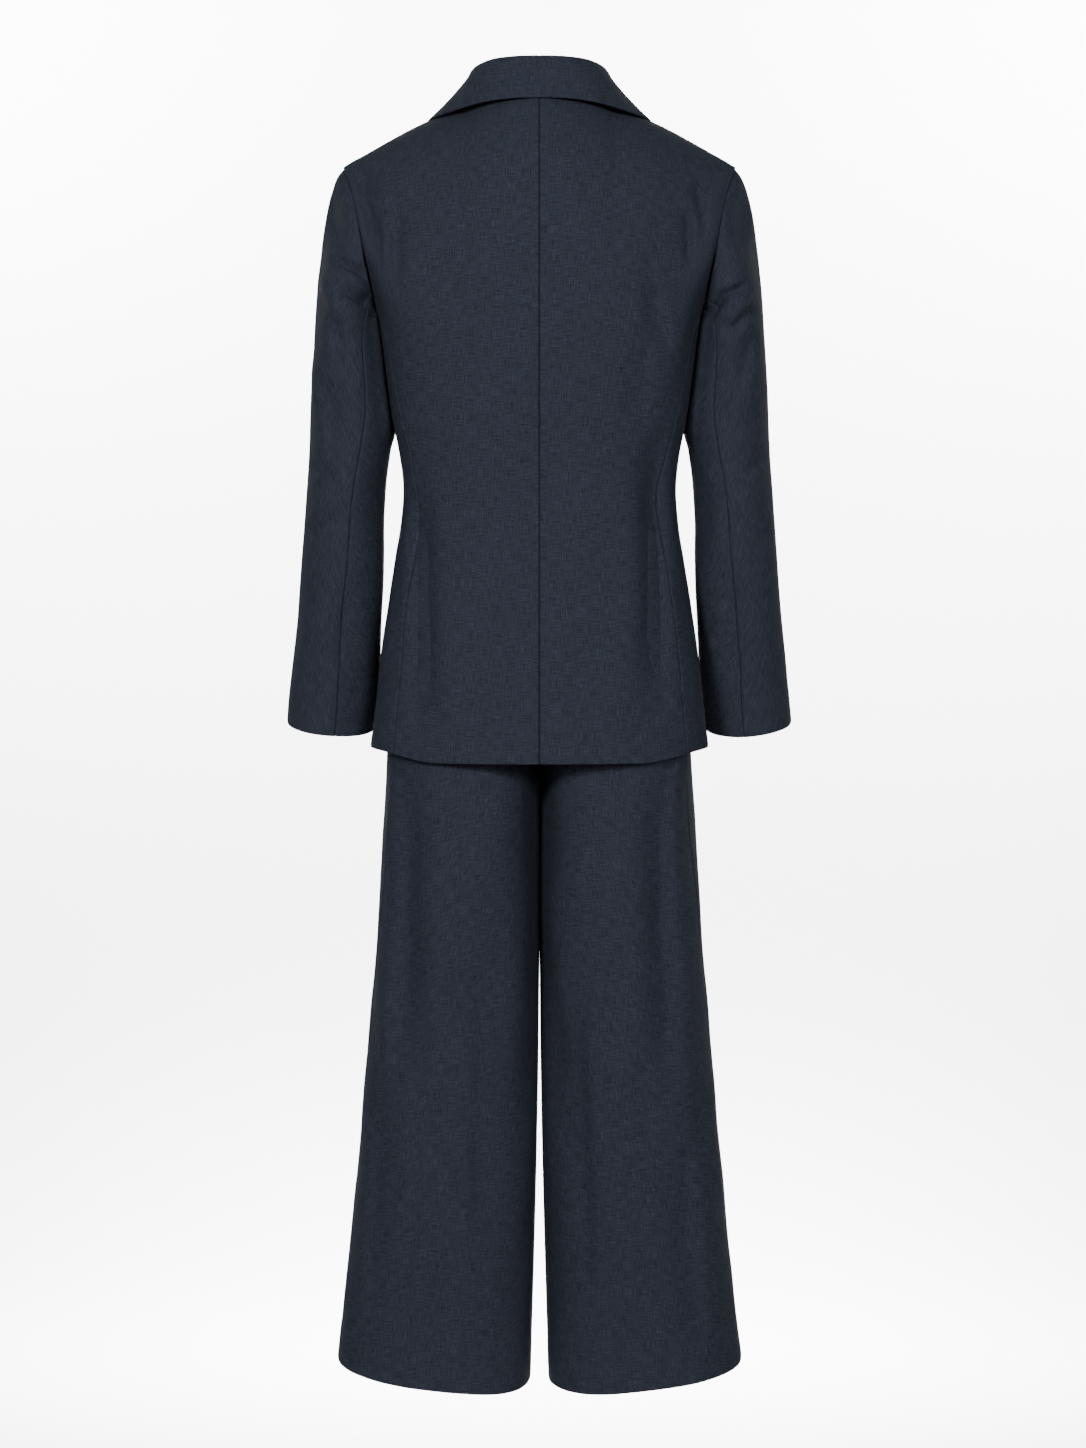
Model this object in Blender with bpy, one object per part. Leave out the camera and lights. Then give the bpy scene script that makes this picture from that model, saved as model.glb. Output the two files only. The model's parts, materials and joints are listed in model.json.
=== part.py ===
"""A pantsuit as it is worn: a single-breasted jacket with a notched collar over wide-leg trousers.

Each piece that a maker cuts and sews on is one closed wall of cloth. The front faces -Y and the
wearer's left is +X. The origin is at mid-depth of the neck, level with the middle of the
shoulder seams. Lengths in the tables are millimetres, and angles are degrees.
"""

from math import radians

import bpy
import numpy as np

MM = 0.001

# Cloth
JACKET_WALL = 2.0
TROUSER_WALL = 1.5
SEAM_GAP = 0.3
LAYER_GAP = 0.6  # between the fronts where they lap
LAPEL_GAP = 1.0  # between a front and its lapel

# How finely the walls are divided
PER_STATION = 2  # columns between two armhole stations
NECK_COLUMNS = 4
SHOULDER_COLUMNS = 4
LOWER_ROWS = 9
UPPER_ROWS = 5
CAP_ROWS = 4
SLEEVE_ROWS = 7
LEG_COLUMNS = 10
SEAT_ROWS = 5
LEG_ROWS = 7

# Jacket body: sections from the hem up. half is the half width, back and front are depths, and
# back_seam is where the seam of the back and side is, as an angle from the centre back.
JACKET_SECTIONS = {
    "z": (-665, -591, -544, -497, -449, -412, -376, -340, -303, -262, -220, -180),
    "half": (180, 171.5, 165.5, 158.5, 151, 145.8, 143.3, 146.5, 153.5, 159.2, 164.5, 171.5),
    "back": (127, 124, 119.5, 112.5, 104, 98.5, 95.5, 97, 101.5, 107, 111.5, 114),
    "front": (135, 132, 128.5, 125, 121, 119, 118, 121, 128, 136, 139, 137),
    "back_seam": (55, 56, 58, 59, 60, 61, 62, 63, 65, 68.5, 73, 77),
}
JACKET_POWER = 2.4
YOKE_Z = -220  # the section from which the panels rise to the armhole, shoulder and neck
HEM_SIDE_Z = -644.5
HEM_BACK_DROP = 11  # the hem dips this much across the back
HEM_FRONT_DROP = 6
FRONT_SEAM_ANGLE = 118  # from the centre back, round the body
FRONT_OVERLAP = 20  # each front passes the centre by this much
BREAK_Z = -350  # where the lapel starts to turn
NECK_POINT = (75, -2, 25)  # where the shoulder seam meets the neck
NAPE = (0, -2, 66)  # where the back would end if the neckline didn't cut it
NECKLINE_CUT = 0.23  # the share of the back's height that the neckline cuts off at its centre
SHOULDER_MIDDLE = (133, 3, -0.6)

# The left armhole, from the shoulder point down the back, under the arm and up the front
ARMHOLE = {
    "x": (204.5, 197, 190.5, 185.5, 181, 176.5, 173, 171.3, 170.5, 168, 164, 160.5, 160, 165, 177, 191.5),
    "y": (4, 28, 44, 53, 54, 46, 33, 18, 2, -16, -32, -44, -51, -49, -38, -18),
    "z": (-40, -59.5, -81.5, -106, -131, -153, -170, -182, -187, -184, -174, -158, -135, -108, -80, -56),
}
STATIONS = len(ARMHOLE["x"])
BACK_SEAM_STATION = 7  # where the back meets the side
FRONT_SEAM_STATION = 11  # where the side meets the front
ELBOW_SEAM_STATION = 6  # where the sleeve's back seam starts
INNER_SEAM_STATION = 10  # where the sleeve's front seam starts

# The sleeve below the cap: inner and outer edges, the middle of its depth, and half that depth
SLEEVE_SECTIONS = {
    "z": (-230, -262, -303, -334, -366, -398, -449, -512, -580, -632),
    "inner": (163.9, 159.5, 153.6, 156.5, 161, 163.5, 165.5, 169, 174.5, 181),
    "outer": (236.5, 239, 241.5, 242.8, 244.5, 246.5, 250.5, 256.5, 263.5, 269.5),
    "middle": (-8, -14, -19, -20, -20, -20, -24, -33, -46, -58),
    "depth": (62, 60, 57, 55, 53, 52, 51, 49, 48, 48),
    "elbow_seam": (-30, -28, -23, -19, -16, -13, -10, -7, -7, -9),
    "lean": (0, 0, 0, 0, 0, 0.03, 0.08, 0.13, 0.18, 0.21),  # drop towards the back of the section
}
INNER_SEAM_ANGLE = 222
CUFF_SIDE_SLOPE = 0.085  # the cuff is higher on its outer side
SHOULDER_CLEAR = 0.3  # more of a gap at the shoulder, where the seam folds sharply
CUFF_RISE = 7  # the middle of the cuff above the last section's z

# The largest folds: a soft trough from one place to another, seen from behind
SLEEVE_FOLDS = {
    "from_x": (228, 222, 214),
    "from_z": (-122, -152, -196),
    "to_x": (180, 184, 200),
    "to_z": (-163, -182, -260),
    "width": (9, 9, 14),
    "depth": (2.6, 2.2, 2.0),
}
BACK_FOLDS = {
    "from_x": (163, 150),
    "from_z": (-50, -85),
    "to_x": (158, 154),
    "to_z": (-120, -150),
    "width": (9, 10),
    "depth": (2.0, 1.8),
}

# Collar, from the centre back to its front end: the seam, the fold and the outer edge
COLLAR = {
    "seam_x": (0, 26, 49, 67, 74.5, 72.5, 68, 62),
    "seam_y": (60, 56, 45, 25, -2, -24, -43, -59),
    "seam_z": (35.8, 31, 26.8, 24.4, 26.2, 18, 6, -9),
    "fold_x": (0, 25, 47, 63, 70, 70, 67.5, 63),
    "fold_y": (61, 57, 45, 24, -2, -27, -48, -65),
    "fold_z": (67.5, 67.2, 65.8, 61.3, 52.5, 39, 22, 2.5),
    "edge_x": (0, 32, 62, 90, 110.5, 113, 111, 105),
    "edge_y": (72.5, 71, 63, 46, 14, -18, -42, -60),
    "edge_z": (23.5, 22.8, 20.5, 17, 13, 7.5, -3, -17),
}
COLLAR_COLUMNS = 11
COLLAR_ROWS = 4

# Lapel, seen from the front: its top edge runs from the roll line to the tip, in line with the gorge
GORGE_Z = -12
LAPEL_EDGE = {
    "x": (-12, 22, 62, 98, 121),
    "z": (-344, -280, -190, -110, -42),
}
RIGHT_LAPEL_Z = -338  # where each lapel starts on its roll line
LEFT_LAPEL_Z = -305
LEFT_LAPEL_EDGE_START = 0.25  # and on the edge's curve
LEFT_LAPEL_CLEAR = 5  # from the edge of the other front
LAPEL_COLUMNS = 5
LAPEL_ROWS = 9

# Trousers: sections from the waist down. gap is how far each leg's inner side is from the centre.
LEG_SECTIONS = {
    "z": (-340, -385, -430, -480, -540, -604, -670, -759, -866, -972, -1079, -1186, -1320),
    "outer": (126, 128, 138, 147, 153.5, 158, 161, 166, 173, 182, 191, 201.5, 216),
    "back": (80, 83, 89, 94.5, 98, 100, 103, 104, 101, 97, 93, 89, 85),
    "front": (98, 100, 102, 104, 104, 104, 103, 100, 97, 94, 91, 88, 85),
    "parted": (0, 0, 0, 0.12, 0.55, 1, 1, 1, 1, 1, 1, 1, 1),
    "gap": (0.2, 0.2, 0.2, 0.2, 0.2, 0.2, 0.2, 0.2, 0.8, 2.2, 4.3, 7.1, 11.2),
    "side_seam": (82, 80, 74, 68, 62, 60, 60, 66, 73, 78, 80, 82, 82),
}
LEG_POWER = 2.45
WAIST_TOP_Z = -350
WAISTBAND_HEIGHT = 35
CROTCH_Z = -604
LEG_HEM_Z = -1303
LEG_HEM_SLOPE = 0.115  # the hem is higher on its outer side
LEG_HEM_DIP = 0.095  # and lower at the back
WAISTBAND_COLUMNS = 40
WAISTBAND_LAP = 7  # degrees by which each end passes the centre front

BUTTON_RADIUS = 10
BUTTON_HEIGHT = 3.2
BUTTON_Z = -368
BUTTON_SEAT = 0.9  # clear of the curve of the front
WAIST_BUTTON_RADIUS = 7.5

NAVY = (0.026, 0.034, 0.050, 1)
BUTTON_COLOUR = (0.012, 0.014, 0.020, 1)


# Curves


def spline(knots, values, at):
    """A smooth curve through values at rising knots, read at each of `at`."""
    knots = np.asarray(knots, float)
    values = np.asarray(values, float).reshape(len(knots), -1)
    slopes = np.gradient(values, knots, axis=0)
    at = np.clip(np.ravel(at), knots[0], knots[-1])
    low = np.clip(np.searchsorted(knots, at, side="right") - 1, 0, len(knots) - 2)
    step = (knots[low + 1] - knots[low])[:, None]
    t = (at - knots[low])[:, None] / step
    start = (1 + 2 * t) * (1 - t) ** 2 * values[low] + t * (1 - t) ** 2 * step * slopes[low]
    end = t * t * (3 - 2 * t) * values[low + 1] + t * t * (t - 1) * step * slopes[low + 1]
    return start + end


def by_height(sections, column, z):
    """A column of a table of sections at the heights z."""
    heights = np.asarray(sections["z"], float)
    order = np.argsort(heights)
    values = np.asarray(sections[column], float)[order]
    return spline(heights[order], values, z).reshape(np.shape(z))


def rounded(angle, power):
    """Sine and cosine of a section that is squarer than an ellipse."""
    turn = np.radians(angle)
    sine, cosine = np.sin(turn), np.cos(turn)
    across = np.sign(sine) * np.abs(sine) ** (2 / power)
    along = np.sign(cosine) * np.abs(cosine) ** (2 / power)
    return across, along


def unit(vectors):
    return vectors / np.maximum(np.linalg.norm(vectors, axis=-1, keepdims=True), 1e-9)


def bezier(start, start_pull, end_pull, end, t):
    t = np.asarray(t)[..., None]
    return (
        (1 - t) ** 3 * start
        + 3 * t * (1 - t) ** 2 * start_pull
        + 3 * t * t * (1 - t) * end_pull
        + t**3 * end
    )


def ease(value):
    value = np.clip(value, 0, 1)
    return value * value * (3 - 2 * value)


def troughs(points, normals, folds):
    """Moves points in along their normals, most along the line of each fold."""
    for from_x, from_z, to_x, to_z, width, depth in zip(*folds.values()):
        start = np.array((from_x, from_z), float)
        run = np.array((to_x, to_z), float) - start
        place = points[..., (0, 2)] - start
        along = np.clip((place @ run) / (run @ run), 0, 1)
        off = np.linalg.norm(place - along[..., None] * run, axis=-1)
        strength = np.sin(np.pi * (0.15 + 0.7 * along)) * np.exp(-((off / width) ** 2))
        facing = np.clip(normals[..., 1] * 2, 0, 1)
        points = points - (depth * strength * facing)[..., None] * normals
    return points


# Jacket body


def armhole(station):
    """A point of the armhole. Whole numbers are the table's own stations."""
    knots = np.arange(-2, STATIONS + 3)
    table = np.stack([ARMHOLE[axis] for axis in "xyz"], axis=1)
    return spline(knots, table[knots % STATIONS], station)


def body_section(z, angle):
    across, along = rounded(angle, JACKET_POWER)
    depth = np.where(along > 0, by_height(JACKET_SECTIONS, "back", z), by_height(JACKET_SECTIONS, "front", z))
    half = by_height(JACKET_SECTIONS, "half", z)
    return np.stack([half * across, depth * along, z], axis=-1)


def roll_line_x(z):
    """How far the roll line, or below it the front edge, is from the centre."""
    neck_x, _, neck_z = NECK_POINT
    rise = np.maximum(z - BREAK_Z, 0) / (neck_z - BREAK_Z)
    return -FRONT_OVERLAP + (neck_x + FRONT_OVERLAP) * rise


def front_edge_angle(z):
    share = roll_line_x(z) / by_height(JACKET_SECTIONS, "half", z)
    return 180 - np.sign(share) * np.degrees(np.arcsin(np.abs(share) ** (JACKET_POWER / 2)))


def hem_z(angle):
    """The jacket's hem, which dips across the back and a little towards the front edge."""
    across, along = rounded(angle, JACKET_POWER)
    dip = ease((1 - np.abs(across)) / 0.42)
    return HEM_SIDE_Z - np.where(along > 0, HEM_BACK_DROP, HEM_FRONT_DROP) * dip


def lower_body(angle_at, row):
    """The body below the yoke line. row runs from 0 at the hem to 1 at the yoke line."""
    flat_hem = np.full_like(row, HEM_SIDE_Z, dtype=float)
    z = flat_hem
    for _ in range(3):
        angle = angle_at(z)
        z = hem_z(angle) + (YOKE_Z - hem_z(angle)) * row
    return body_section(z, angle_at(z))


def upper_body(foot_angle, top, arrival, rise):
    """The body above the yoke line. rise runs from 0 at that line to 1 at the top edge."""
    yoke = np.full(np.shape(foot_angle), float(YOKE_Z))
    foot = body_section(yoke, foot_angle)
    upward = unit(body_section(yoke + 12, foot_angle) - foot)
    reach = np.linalg.norm(top - foot, axis=-1, keepdims=True)
    return bezier(foot, foot + 0.36 * reach * upward, top - 0.36 * reach * unit(arrival), top, rise)


def panel_points(angle_at, foot_angle, top, arrival, row):
    """A body panel: row runs from 0 at the hem through 1 at the yoke line to 2 at the top edge."""
    low = lower_body(angle_at, np.minimum(row, 1))
    high = upper_body(foot_angle, top, arrival, np.clip(row - 1, 0, 1))
    return np.where((row <= 1)[..., None], low, high)


def back_top(across):
    """The top of the back: the ridge from the nape to the shoulder at 0 to 2, the armhole up to 3."""
    nape, neck = np.array(NAPE, float), np.array(NECK_POINT, float)
    rise = np.clip(across, 0, 1)[:, None]
    ridge = nape + (neck - nape) * np.concatenate([rise, rise, rise**1.4], axis=1)
    shoulder = spline((0, 0.5, 1), (NECK_POINT, SHOULDER_MIDDLE, armhole(0)[0]), np.clip(across - 1, 0, 1))
    side = armhole(np.clip(across - 2, 0, 1) * BACK_SEAM_STATION)
    across = across[..., None]
    return np.where(across <= 1, ridge, np.where(across <= 2, shoulder, side))


def back_panel(across, row):
    """across as in back_top. Columns leave the yoke line at the angles that suit their tops."""
    flat = across.ravel()
    share = spline((0, 1, 2, 2.71, 3), (0, 0.3, 0.59, 0.82, 1), flat)[:, 0]
    arrival = spline(
        (0, 1, 2, 2.29, 2.71, 3),
        ((0, -1, 0.14), (0, -1, 0.14), (0.4, -0.85, 0.34), (0.36, -0.5, 0.78), (0.4, -0.3, 0.86), (0.2, -0.14, 0.97)),
        flat,
    )

    def angle_at(z):
        return share * by_height(JACKET_SECTIONS, "back_seam", z)

    neckline = 1 - NECKLINE_CUT * np.sqrt(np.clip(1 - flat**2, 0, 1))
    rise = np.where(row.ravel() > 1, 1 + (row.ravel() - 1) * neckline, row.ravel())
    foot = angle_at(np.full(flat.shape, float(YOKE_Z)))
    points = panel_points(angle_at, foot, back_top(flat), arrival, rise)
    return points.reshape(*across.shape, 3)


def side_panel(across, row):
    """across runs from 0 at the back seam to 1 at the front seam."""
    flat = across.ravel()
    top = armhole(BACK_SEAM_STATION + flat * (FRONT_SEAM_STATION - BACK_SEAM_STATION))
    arrival = spline((0, 0.5, 1), ((0.2, -0.14, 0.97), (0.05, 0.05, 1), (0.1, 0.35, 0.9)), flat)

    def angle_at(z):
        back_seam = by_height(JACKET_SECTIONS, "back_seam", z)
        return back_seam + flat * (FRONT_SEAM_ANGLE - back_seam)

    foot = angle_at(np.full(flat.shape, float(YOKE_Z)))
    points = panel_points(angle_at, foot, top, arrival, row.ravel())
    return points.reshape(*across.shape, 3)


def front_panel(across, row):
    """across runs from 0 at the side seam to 1 at the shoulder point and 2 at the roll line."""
    flat = across.ravel()
    share = spline((0, 1, 2), (0, 0.4, 1), flat)[:, 0]
    side = armhole(FRONT_SEAM_STATION + np.clip(flat, 0, 1) * (STATIONS - FRONT_SEAM_STATION))
    shoulder = spline((0, 0.5, 1), (armhole(0)[0], SHOULDER_MIDDLE, NECK_POINT), np.clip(flat - 1, 0, 1))
    top = np.where((flat <= 1)[:, None], side, shoulder)
    arrival = spline(
        (0, 0.5, 1, 2), ((0.1, 0.35, 0.9), (0.42, 0.5, 0.75), (0.6, 0.7, 0.38), (0.12, 0.85, 0.5)), flat
    )

    def angle_at(z):
        return FRONT_SEAM_ANGLE + share * (front_edge_angle(z) - FRONT_SEAM_ANGLE)

    foot = angle_at(np.full(flat.shape, float(YOKE_Z)))
    points = panel_points(angle_at, foot, top, arrival, row.ravel())
    return points.reshape(*across.shape, 3)


def on_front(x, z):
    """The points of the front panel at the places x, z of its front view, with their normals."""
    place = np.stack([np.full(x.shape, 1.6), np.full(x.shape, 1.2)], axis=-1)
    small = 1e-3
    for _ in range(25):
        here = front_panel(place[..., 0], place[..., 1])
        step_a = (front_panel(place[..., 0] + small, place[..., 1]) - here) / small
        step_r = (front_panel(place[..., 0], place[..., 1] + small) - here) / small
        miss_x, miss_z = x - here[..., 0], z - here[..., 2]
        det = step_a[..., 0] * step_r[..., 2] - step_a[..., 2] * step_r[..., 0]
        det = np.where(np.abs(det) < 1, 1, det)
        move_a = (miss_x * step_r[..., 2] - miss_z * step_r[..., 0]) / det
        move_r = (step_a[..., 0] * miss_z - step_a[..., 2] * miss_x) / det
        place[..., 0] = np.clip(place[..., 0] + np.clip(move_a, -0.2, 0.2), 0.02, 1.998)
        place[..., 1] = np.clip(place[..., 1] + np.clip(move_r, -0.2, 0.2), 0.02, 1.998)
    here = front_panel(place[..., 0], place[..., 1])
    step_a = front_panel(place[..., 0] + small, place[..., 1]) - here
    step_r = front_panel(place[..., 0], place[..., 1] + small) - here
    normals = unit(np.cross(step_a, step_r))
    return here, np.where(normals[..., 1:2] > 0, -normals, normals)


# Sleeve


def sleeve_section(z, share, upper):
    """The sleeve below its cap. share runs round the top sleeve, or else round the under sleeve."""
    elbow = by_height(SLEEVE_SECTIONS, "elbow_seam", z)
    if upper:
        angle = elbow + share * (INNER_SEAM_ANGLE - elbow)
    else:
        angle = INNER_SEAM_ANGLE + share * (360 + elbow - INNER_SEAM_ANGLE)
    inner = by_height(SLEEVE_SECTIONS, "inner", z)
    outer = by_height(SLEEVE_SECTIONS, "outer", z)
    middle = by_height(SLEEVE_SECTIONS, "middle", z)
    depth = by_height(SLEEVE_SECTIONS, "depth", z)
    lean = by_height(SLEEVE_SECTIONS, "lean", z)
    turn = np.radians(angle)
    x = (inner + outer) / 2 + (outer - inner) / 2 * np.sin(turn)
    y = middle + depth * np.cos(turn)
    cap_z = SLEEVE_SECTIONS["z"][0]
    cuff_z = SLEEVE_SECTIONS["z"][-1]
    down = (cap_z - z) / (cap_z - cuff_z)
    side_slope = CUFF_SIDE_SLOPE * ease(down)
    height = z + CUFF_RISE * ease(down) + side_slope * (x - (inner + outer) / 2) - lean * (y - middle)
    return np.stack([x, y, height], axis=-1)


def sleeve_panel(share, row, upper):
    """row runs from 0 at the armhole through 1 at the end of the cap to 2 at the cuff."""
    flat, down = share.ravel(), row.ravel()
    if upper:
        turns = STATIONS - (INNER_SEAM_STATION - ELBOW_SEAM_STATION)
        station = (ELBOW_SEAM_STATION - flat * turns) % STATIONS
    else:
        station = INNER_SEAM_STATION + flat * (ELBOW_SEAM_STATION - INNER_SEAM_STATION)
    low, high = min(ARMHOLE["z"]), max(ARMHOLE["z"])
    climb = (armhole(station)[:, 2:] - low) / (high - low)
    start = armhole(station) + np.array((1.0, 0, 0)) * (SEAM_GAP + SHOULDER_CLEAR * climb)
    cap_z, cuff_z = SLEEVE_SECTIONS["z"][0], SLEEVE_SECTIONS["z"][-1]
    end = sleeve_section(np.full(flat.shape, float(cap_z)), flat, upper)
    below = sleeve_section(np.full(flat.shape, cap_z - 10.0), flat, upper)
    chord = end - start
    reach = np.linalg.norm(chord, axis=-1, keepdims=True)
    leaving = unit(chord / reach + 0.42 * climb * np.array((1.0, 0, 0)))
    cap = bezier(
        start,
        start + 0.25 * reach * leaving,
        end - 0.4 * reach * unit(below - end),
        end,
        np.clip(down, 0, 1),
    )
    z = cap_z + (cuff_z - cap_z) * np.clip(down - 1, 0, 1)
    tube = sleeve_section(z, flat, upper)
    return np.where((down <= 1)[:, None], cap, tube).reshape(*share.shape, 3)


# Trousers


def leg_panel(share, row, back):
    """share runs from 0 at the side seam to 1 at the seat seam or inseam, row from the waist down."""
    flat, down = share.ravel(), row.ravel()
    top = WAIST_TOP_Z - WAISTBAND_HEIGHT
    z = np.interp(down, (0, 1, 2), (top, CROTCH_Z, LEG_HEM_Z))
    outer = by_height(LEG_SECTIONS, "outer", z)
    gap = by_height(LEG_SECTIONS, "gap", z)
    parted = np.clip(by_height(LEG_SECTIONS, "parted", z), 0, 1)
    half = (outer - parted * gap) / (1 + parted)
    middle = outer - half
    crossing = np.degrees(np.arcsin(np.clip(middle / half, 0, 1) ** (LEG_POWER / 2)))
    crossing = np.where(down >= 1, 90, crossing)
    seam = by_height(LEG_SECTIONS, "side_seam", z)
    if back:
        angle = seam + flat * (-crossing - seam)
    else:
        angle = seam + flat * (180 + crossing - seam)
    across, along = rounded(angle, LEG_POWER)
    depth = np.where(along > 0, by_height(LEG_SECTIONS, "back", z), by_height(LEG_SECTIONS, "front", z))
    x = np.maximum(middle + half * across, gap * parted)
    y = depth * along
    z = z + ease(down - 1) * (LEG_HEM_SLOPE * (x - (outer + gap) / 2) - LEG_HEM_DIP * y)
    return np.stack([x, y, z], axis=-1).reshape(*share.shape, 3)


# Walls


def grid(panel, columns, rows, **more):
    """A panel's points at every pair of a column and a row."""
    across, row = np.meshgrid(np.asarray(columns, float), np.asarray(rows, float))
    return panel(across, row, **more)


def normals_of(points, outward):
    """Normals of a grid of points, turned so that `outward` says which way is out at its middle."""
    down = np.gradient(points, axis=0)
    across = np.gradient(points, axis=1)
    normals = unit(np.cross(across, down))
    middle = normals[normals.shape[0] // 2, normals.shape[1] // 2]
    return normals if middle @ np.asarray(outward, float) > 0 else -normals


def match(first, second):
    """The shared normals of two edges that meet, or each edge's own where they fold back."""
    agree = np.clip(4 * np.sum(first * second, axis=-1, keepdims=True), 0, 1)
    return unit(first + agree * second), unit(second + agree * first)


def trimmed(points, sides, amount=SEAM_GAP / 2):
    """Pulls the named edges of a grid back from their seams."""
    points = points.copy()
    ends = {"left": (0, 1, 1), "right": (-1, -2, 1), "first": (0, 1, 0), "last": (-1, -2, 0)}
    for side in sides:
        edge, inner, axis = ends[side]
        line = np.take(points, edge, axis=axis)
        line = line + amount * unit(np.take(points, inner, axis=axis) - line)
        if axis:
            points[:, edge] = line
        else:
            points[edge] = line
    return points


def add_object(name, vertices, faces, material):
    mesh = bpy.data.meshes.new(name)
    mesh.from_pydata([tuple(v) for v in np.asarray(vertices) * MM], [], faces)
    mesh.materials.append(material)
    mesh.update()
    mesh.shade_smooth()
    mesh.set_sharp_from_angle(angle=radians(50))
    piece = bpy.data.objects.new(name, mesh)
    bpy.data.collections["pantsuit"].objects.link(piece)
    return piece


def add_wall(name, outer, normals, wall, material):
    """A closed wall of cloth between a grid of outer points and the same grid moved in."""
    rows, columns = outer.shape[:2]
    inner = outer - wall * normals
    index = np.arange(rows * columns).reshape(rows, columns)
    back = index + rows * columns
    faces = []
    for r in range(rows - 1):
        for c in range(columns - 1):
            faces.append((index[r, c], index[r, c + 1], index[r + 1, c + 1], index[r + 1, c]))
            faces.append((back[r, c], back[r + 1, c], back[r + 1, c + 1], back[r, c + 1]))
    rim = [*index[0], *index[1:, -1], *index[-1, -2::-1], *index[-2:0:-1, 0]]
    for a, b in zip(rim, rim[1:] + rim[:1]):
        far = rows * columns
        faces.append((a, a + far, b + far, b))
    points = np.concatenate([outer.reshape(-1, 3), inner.reshape(-1, 3)])
    faces = [tuple(int(v) for v in face) for face in faces]
    corner = points[list(faces[0])]
    turn = np.cross(corner[1] - corner[0], corner[2] - corner[0])
    if turn @ normals[0, 0] < 0:
        faces = [face[:1] + face[:0:-1] for face in faces]
    return add_object(name, points, faces, material)


def add_pair(name, outer, normals, wall, material):
    """The left piece, and the right one as its mirror image."""
    add_wall(name + "_left", outer, normals, wall, material)
    flip = np.array((-1.0, 1, 1))
    add_wall(name + "_right", outer * flip, normals * flip, wall, material)


# Pieces


def stations(first, last):
    return np.linspace(0, 1, abs(last - first) * PER_STATION + 1)


def lapped(points, side):
    """Fronts where they lap: the right one a little out over the left one, which goes in as much."""
    half_step = (JACKET_WALL + LAYER_GAP) / 2
    near = ease((70 - points[..., 0]) / 45)
    low = ease((BREAK_Z + 190 - points[..., 2]) / 90)
    shifted = points.copy()
    shifted[..., 1] += (half_step if side == "left" else -half_step) * near * low
    return shifted


def make_jacket_body(cloth):
    rows = np.concatenate([np.linspace(0, 1, LOWER_ROWS + 1), np.linspace(1, 2, UPPER_ROWS + 1)[1:]])
    back_columns = np.concatenate(
        [
            np.linspace(0, 1, NECK_COLUMNS + 1),
            np.linspace(1, 2, SHOULDER_COLUMNS + 1)[1:],
            2 + stations(0, BACK_SEAM_STATION)[1:],
        ]
    )
    side_columns = stations(BACK_SEAM_STATION, FRONT_SEAM_STATION)
    front_columns = np.concatenate(
        [
            stations(FRONT_SEAM_STATION, STATIONS),
            np.linspace(1, 2, SHOULDER_COLUMNS + 1)[1:],
        ]
    )
    back = grid(back_panel, back_columns, rows)
    side = grid(side_panel, side_columns, rows)
    front = grid(front_panel, front_columns, rows)
    back_out = normals_of(back, (0, 1, 0))
    side_out = normals_of(side, (1, 0, 0))
    front_out = normals_of(front, (0, -1, 0))
    back_out[:, 0] = unit(back_out[:, 0] * (0, 1, 1))
    back_out[:, -1], side_out[:, 0] = match(back_out[:, -1], side_out[:, 0])
    side_out[:, -1], front_out[:, 0] = match(side_out[:, -1], front_out[:, 0])
    shoulder_back = back_out[-1, NECK_COLUMNS : NECK_COLUMNS + SHOULDER_COLUMNS + 1]
    shoulder_front = front_out[-1, -SHOULDER_COLUMNS - 1 :][::-1]
    shared, other = match(shoulder_back, shoulder_front)
    back_out[-1, NECK_COLUMNS : NECK_COLUMNS + SHOULDER_COLUMNS + 1] = shared
    front_out[-1, -SHOULDER_COLUMNS - 1 :] = other[::-1]
    edge = np.concatenate(
        [
            back_out[-1, NECK_COLUMNS + SHOULDER_COLUMNS :],
            side_out[-1, 1:],
            front_out[-1, 1 : -SHOULDER_COLUMNS - 1],
        ]
    )
    return {"back": (back, back_out), "side": (side, side_out), "front": (front, front_out), "edge": edge}


def make_sleeves(cloth, body_edge):
    """Both sleeves. body_edge holds the body's normals round the armhole, and comes back matched."""
    rows = np.concatenate([np.linspace(0, 1, CAP_ROWS + 1), np.linspace(1, 2, SLEEVE_ROWS + 1)[1:]])
    turns = STATIONS - (INNER_SEAM_STATION - ELBOW_SEAM_STATION)
    top = grid(sleeve_panel, stations(0, turns), rows, upper=True)
    under = grid(sleeve_panel, stations(ELBOW_SEAM_STATION, INNER_SEAM_STATION), rows, upper=False)
    top_out = normals_of(top, (1, 0, 0))
    under_out = normals_of(under, (-1, 0, 0))
    top = troughs(top, top_out, SLEEVE_FOLDS)
    top_out = normals_of(top, (1, 0, 0))
    top_out[:, 0], under_out[:, -1] = match(top_out[:, 0], under_out[:, -1])
    top_out[:, -1], under_out[:, 0] = match(top_out[:, -1], under_out[:, 0])
    count = STATIONS * PER_STATION
    for edge, first, step in (
        (top_out, ELBOW_SEAM_STATION * PER_STATION, -1),
        (under_out, INNER_SEAM_STATION * PER_STATION, -1),
    ):
        places = (first + step * np.arange(edge.shape[1])) % count
        own, others = match(edge[0], body_edge[places])
        edge[0] = own
        body_edge[places] = others
    add_pair("sleeve_top", trimmed(top, ("left", "right", "first")), top_out, JACKET_WALL, cloth)
    add_pair("sleeve_under", trimmed(under, ("left", "right", "first")), under_out, JACKET_WALL, cloth)
    return body_edge


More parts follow.
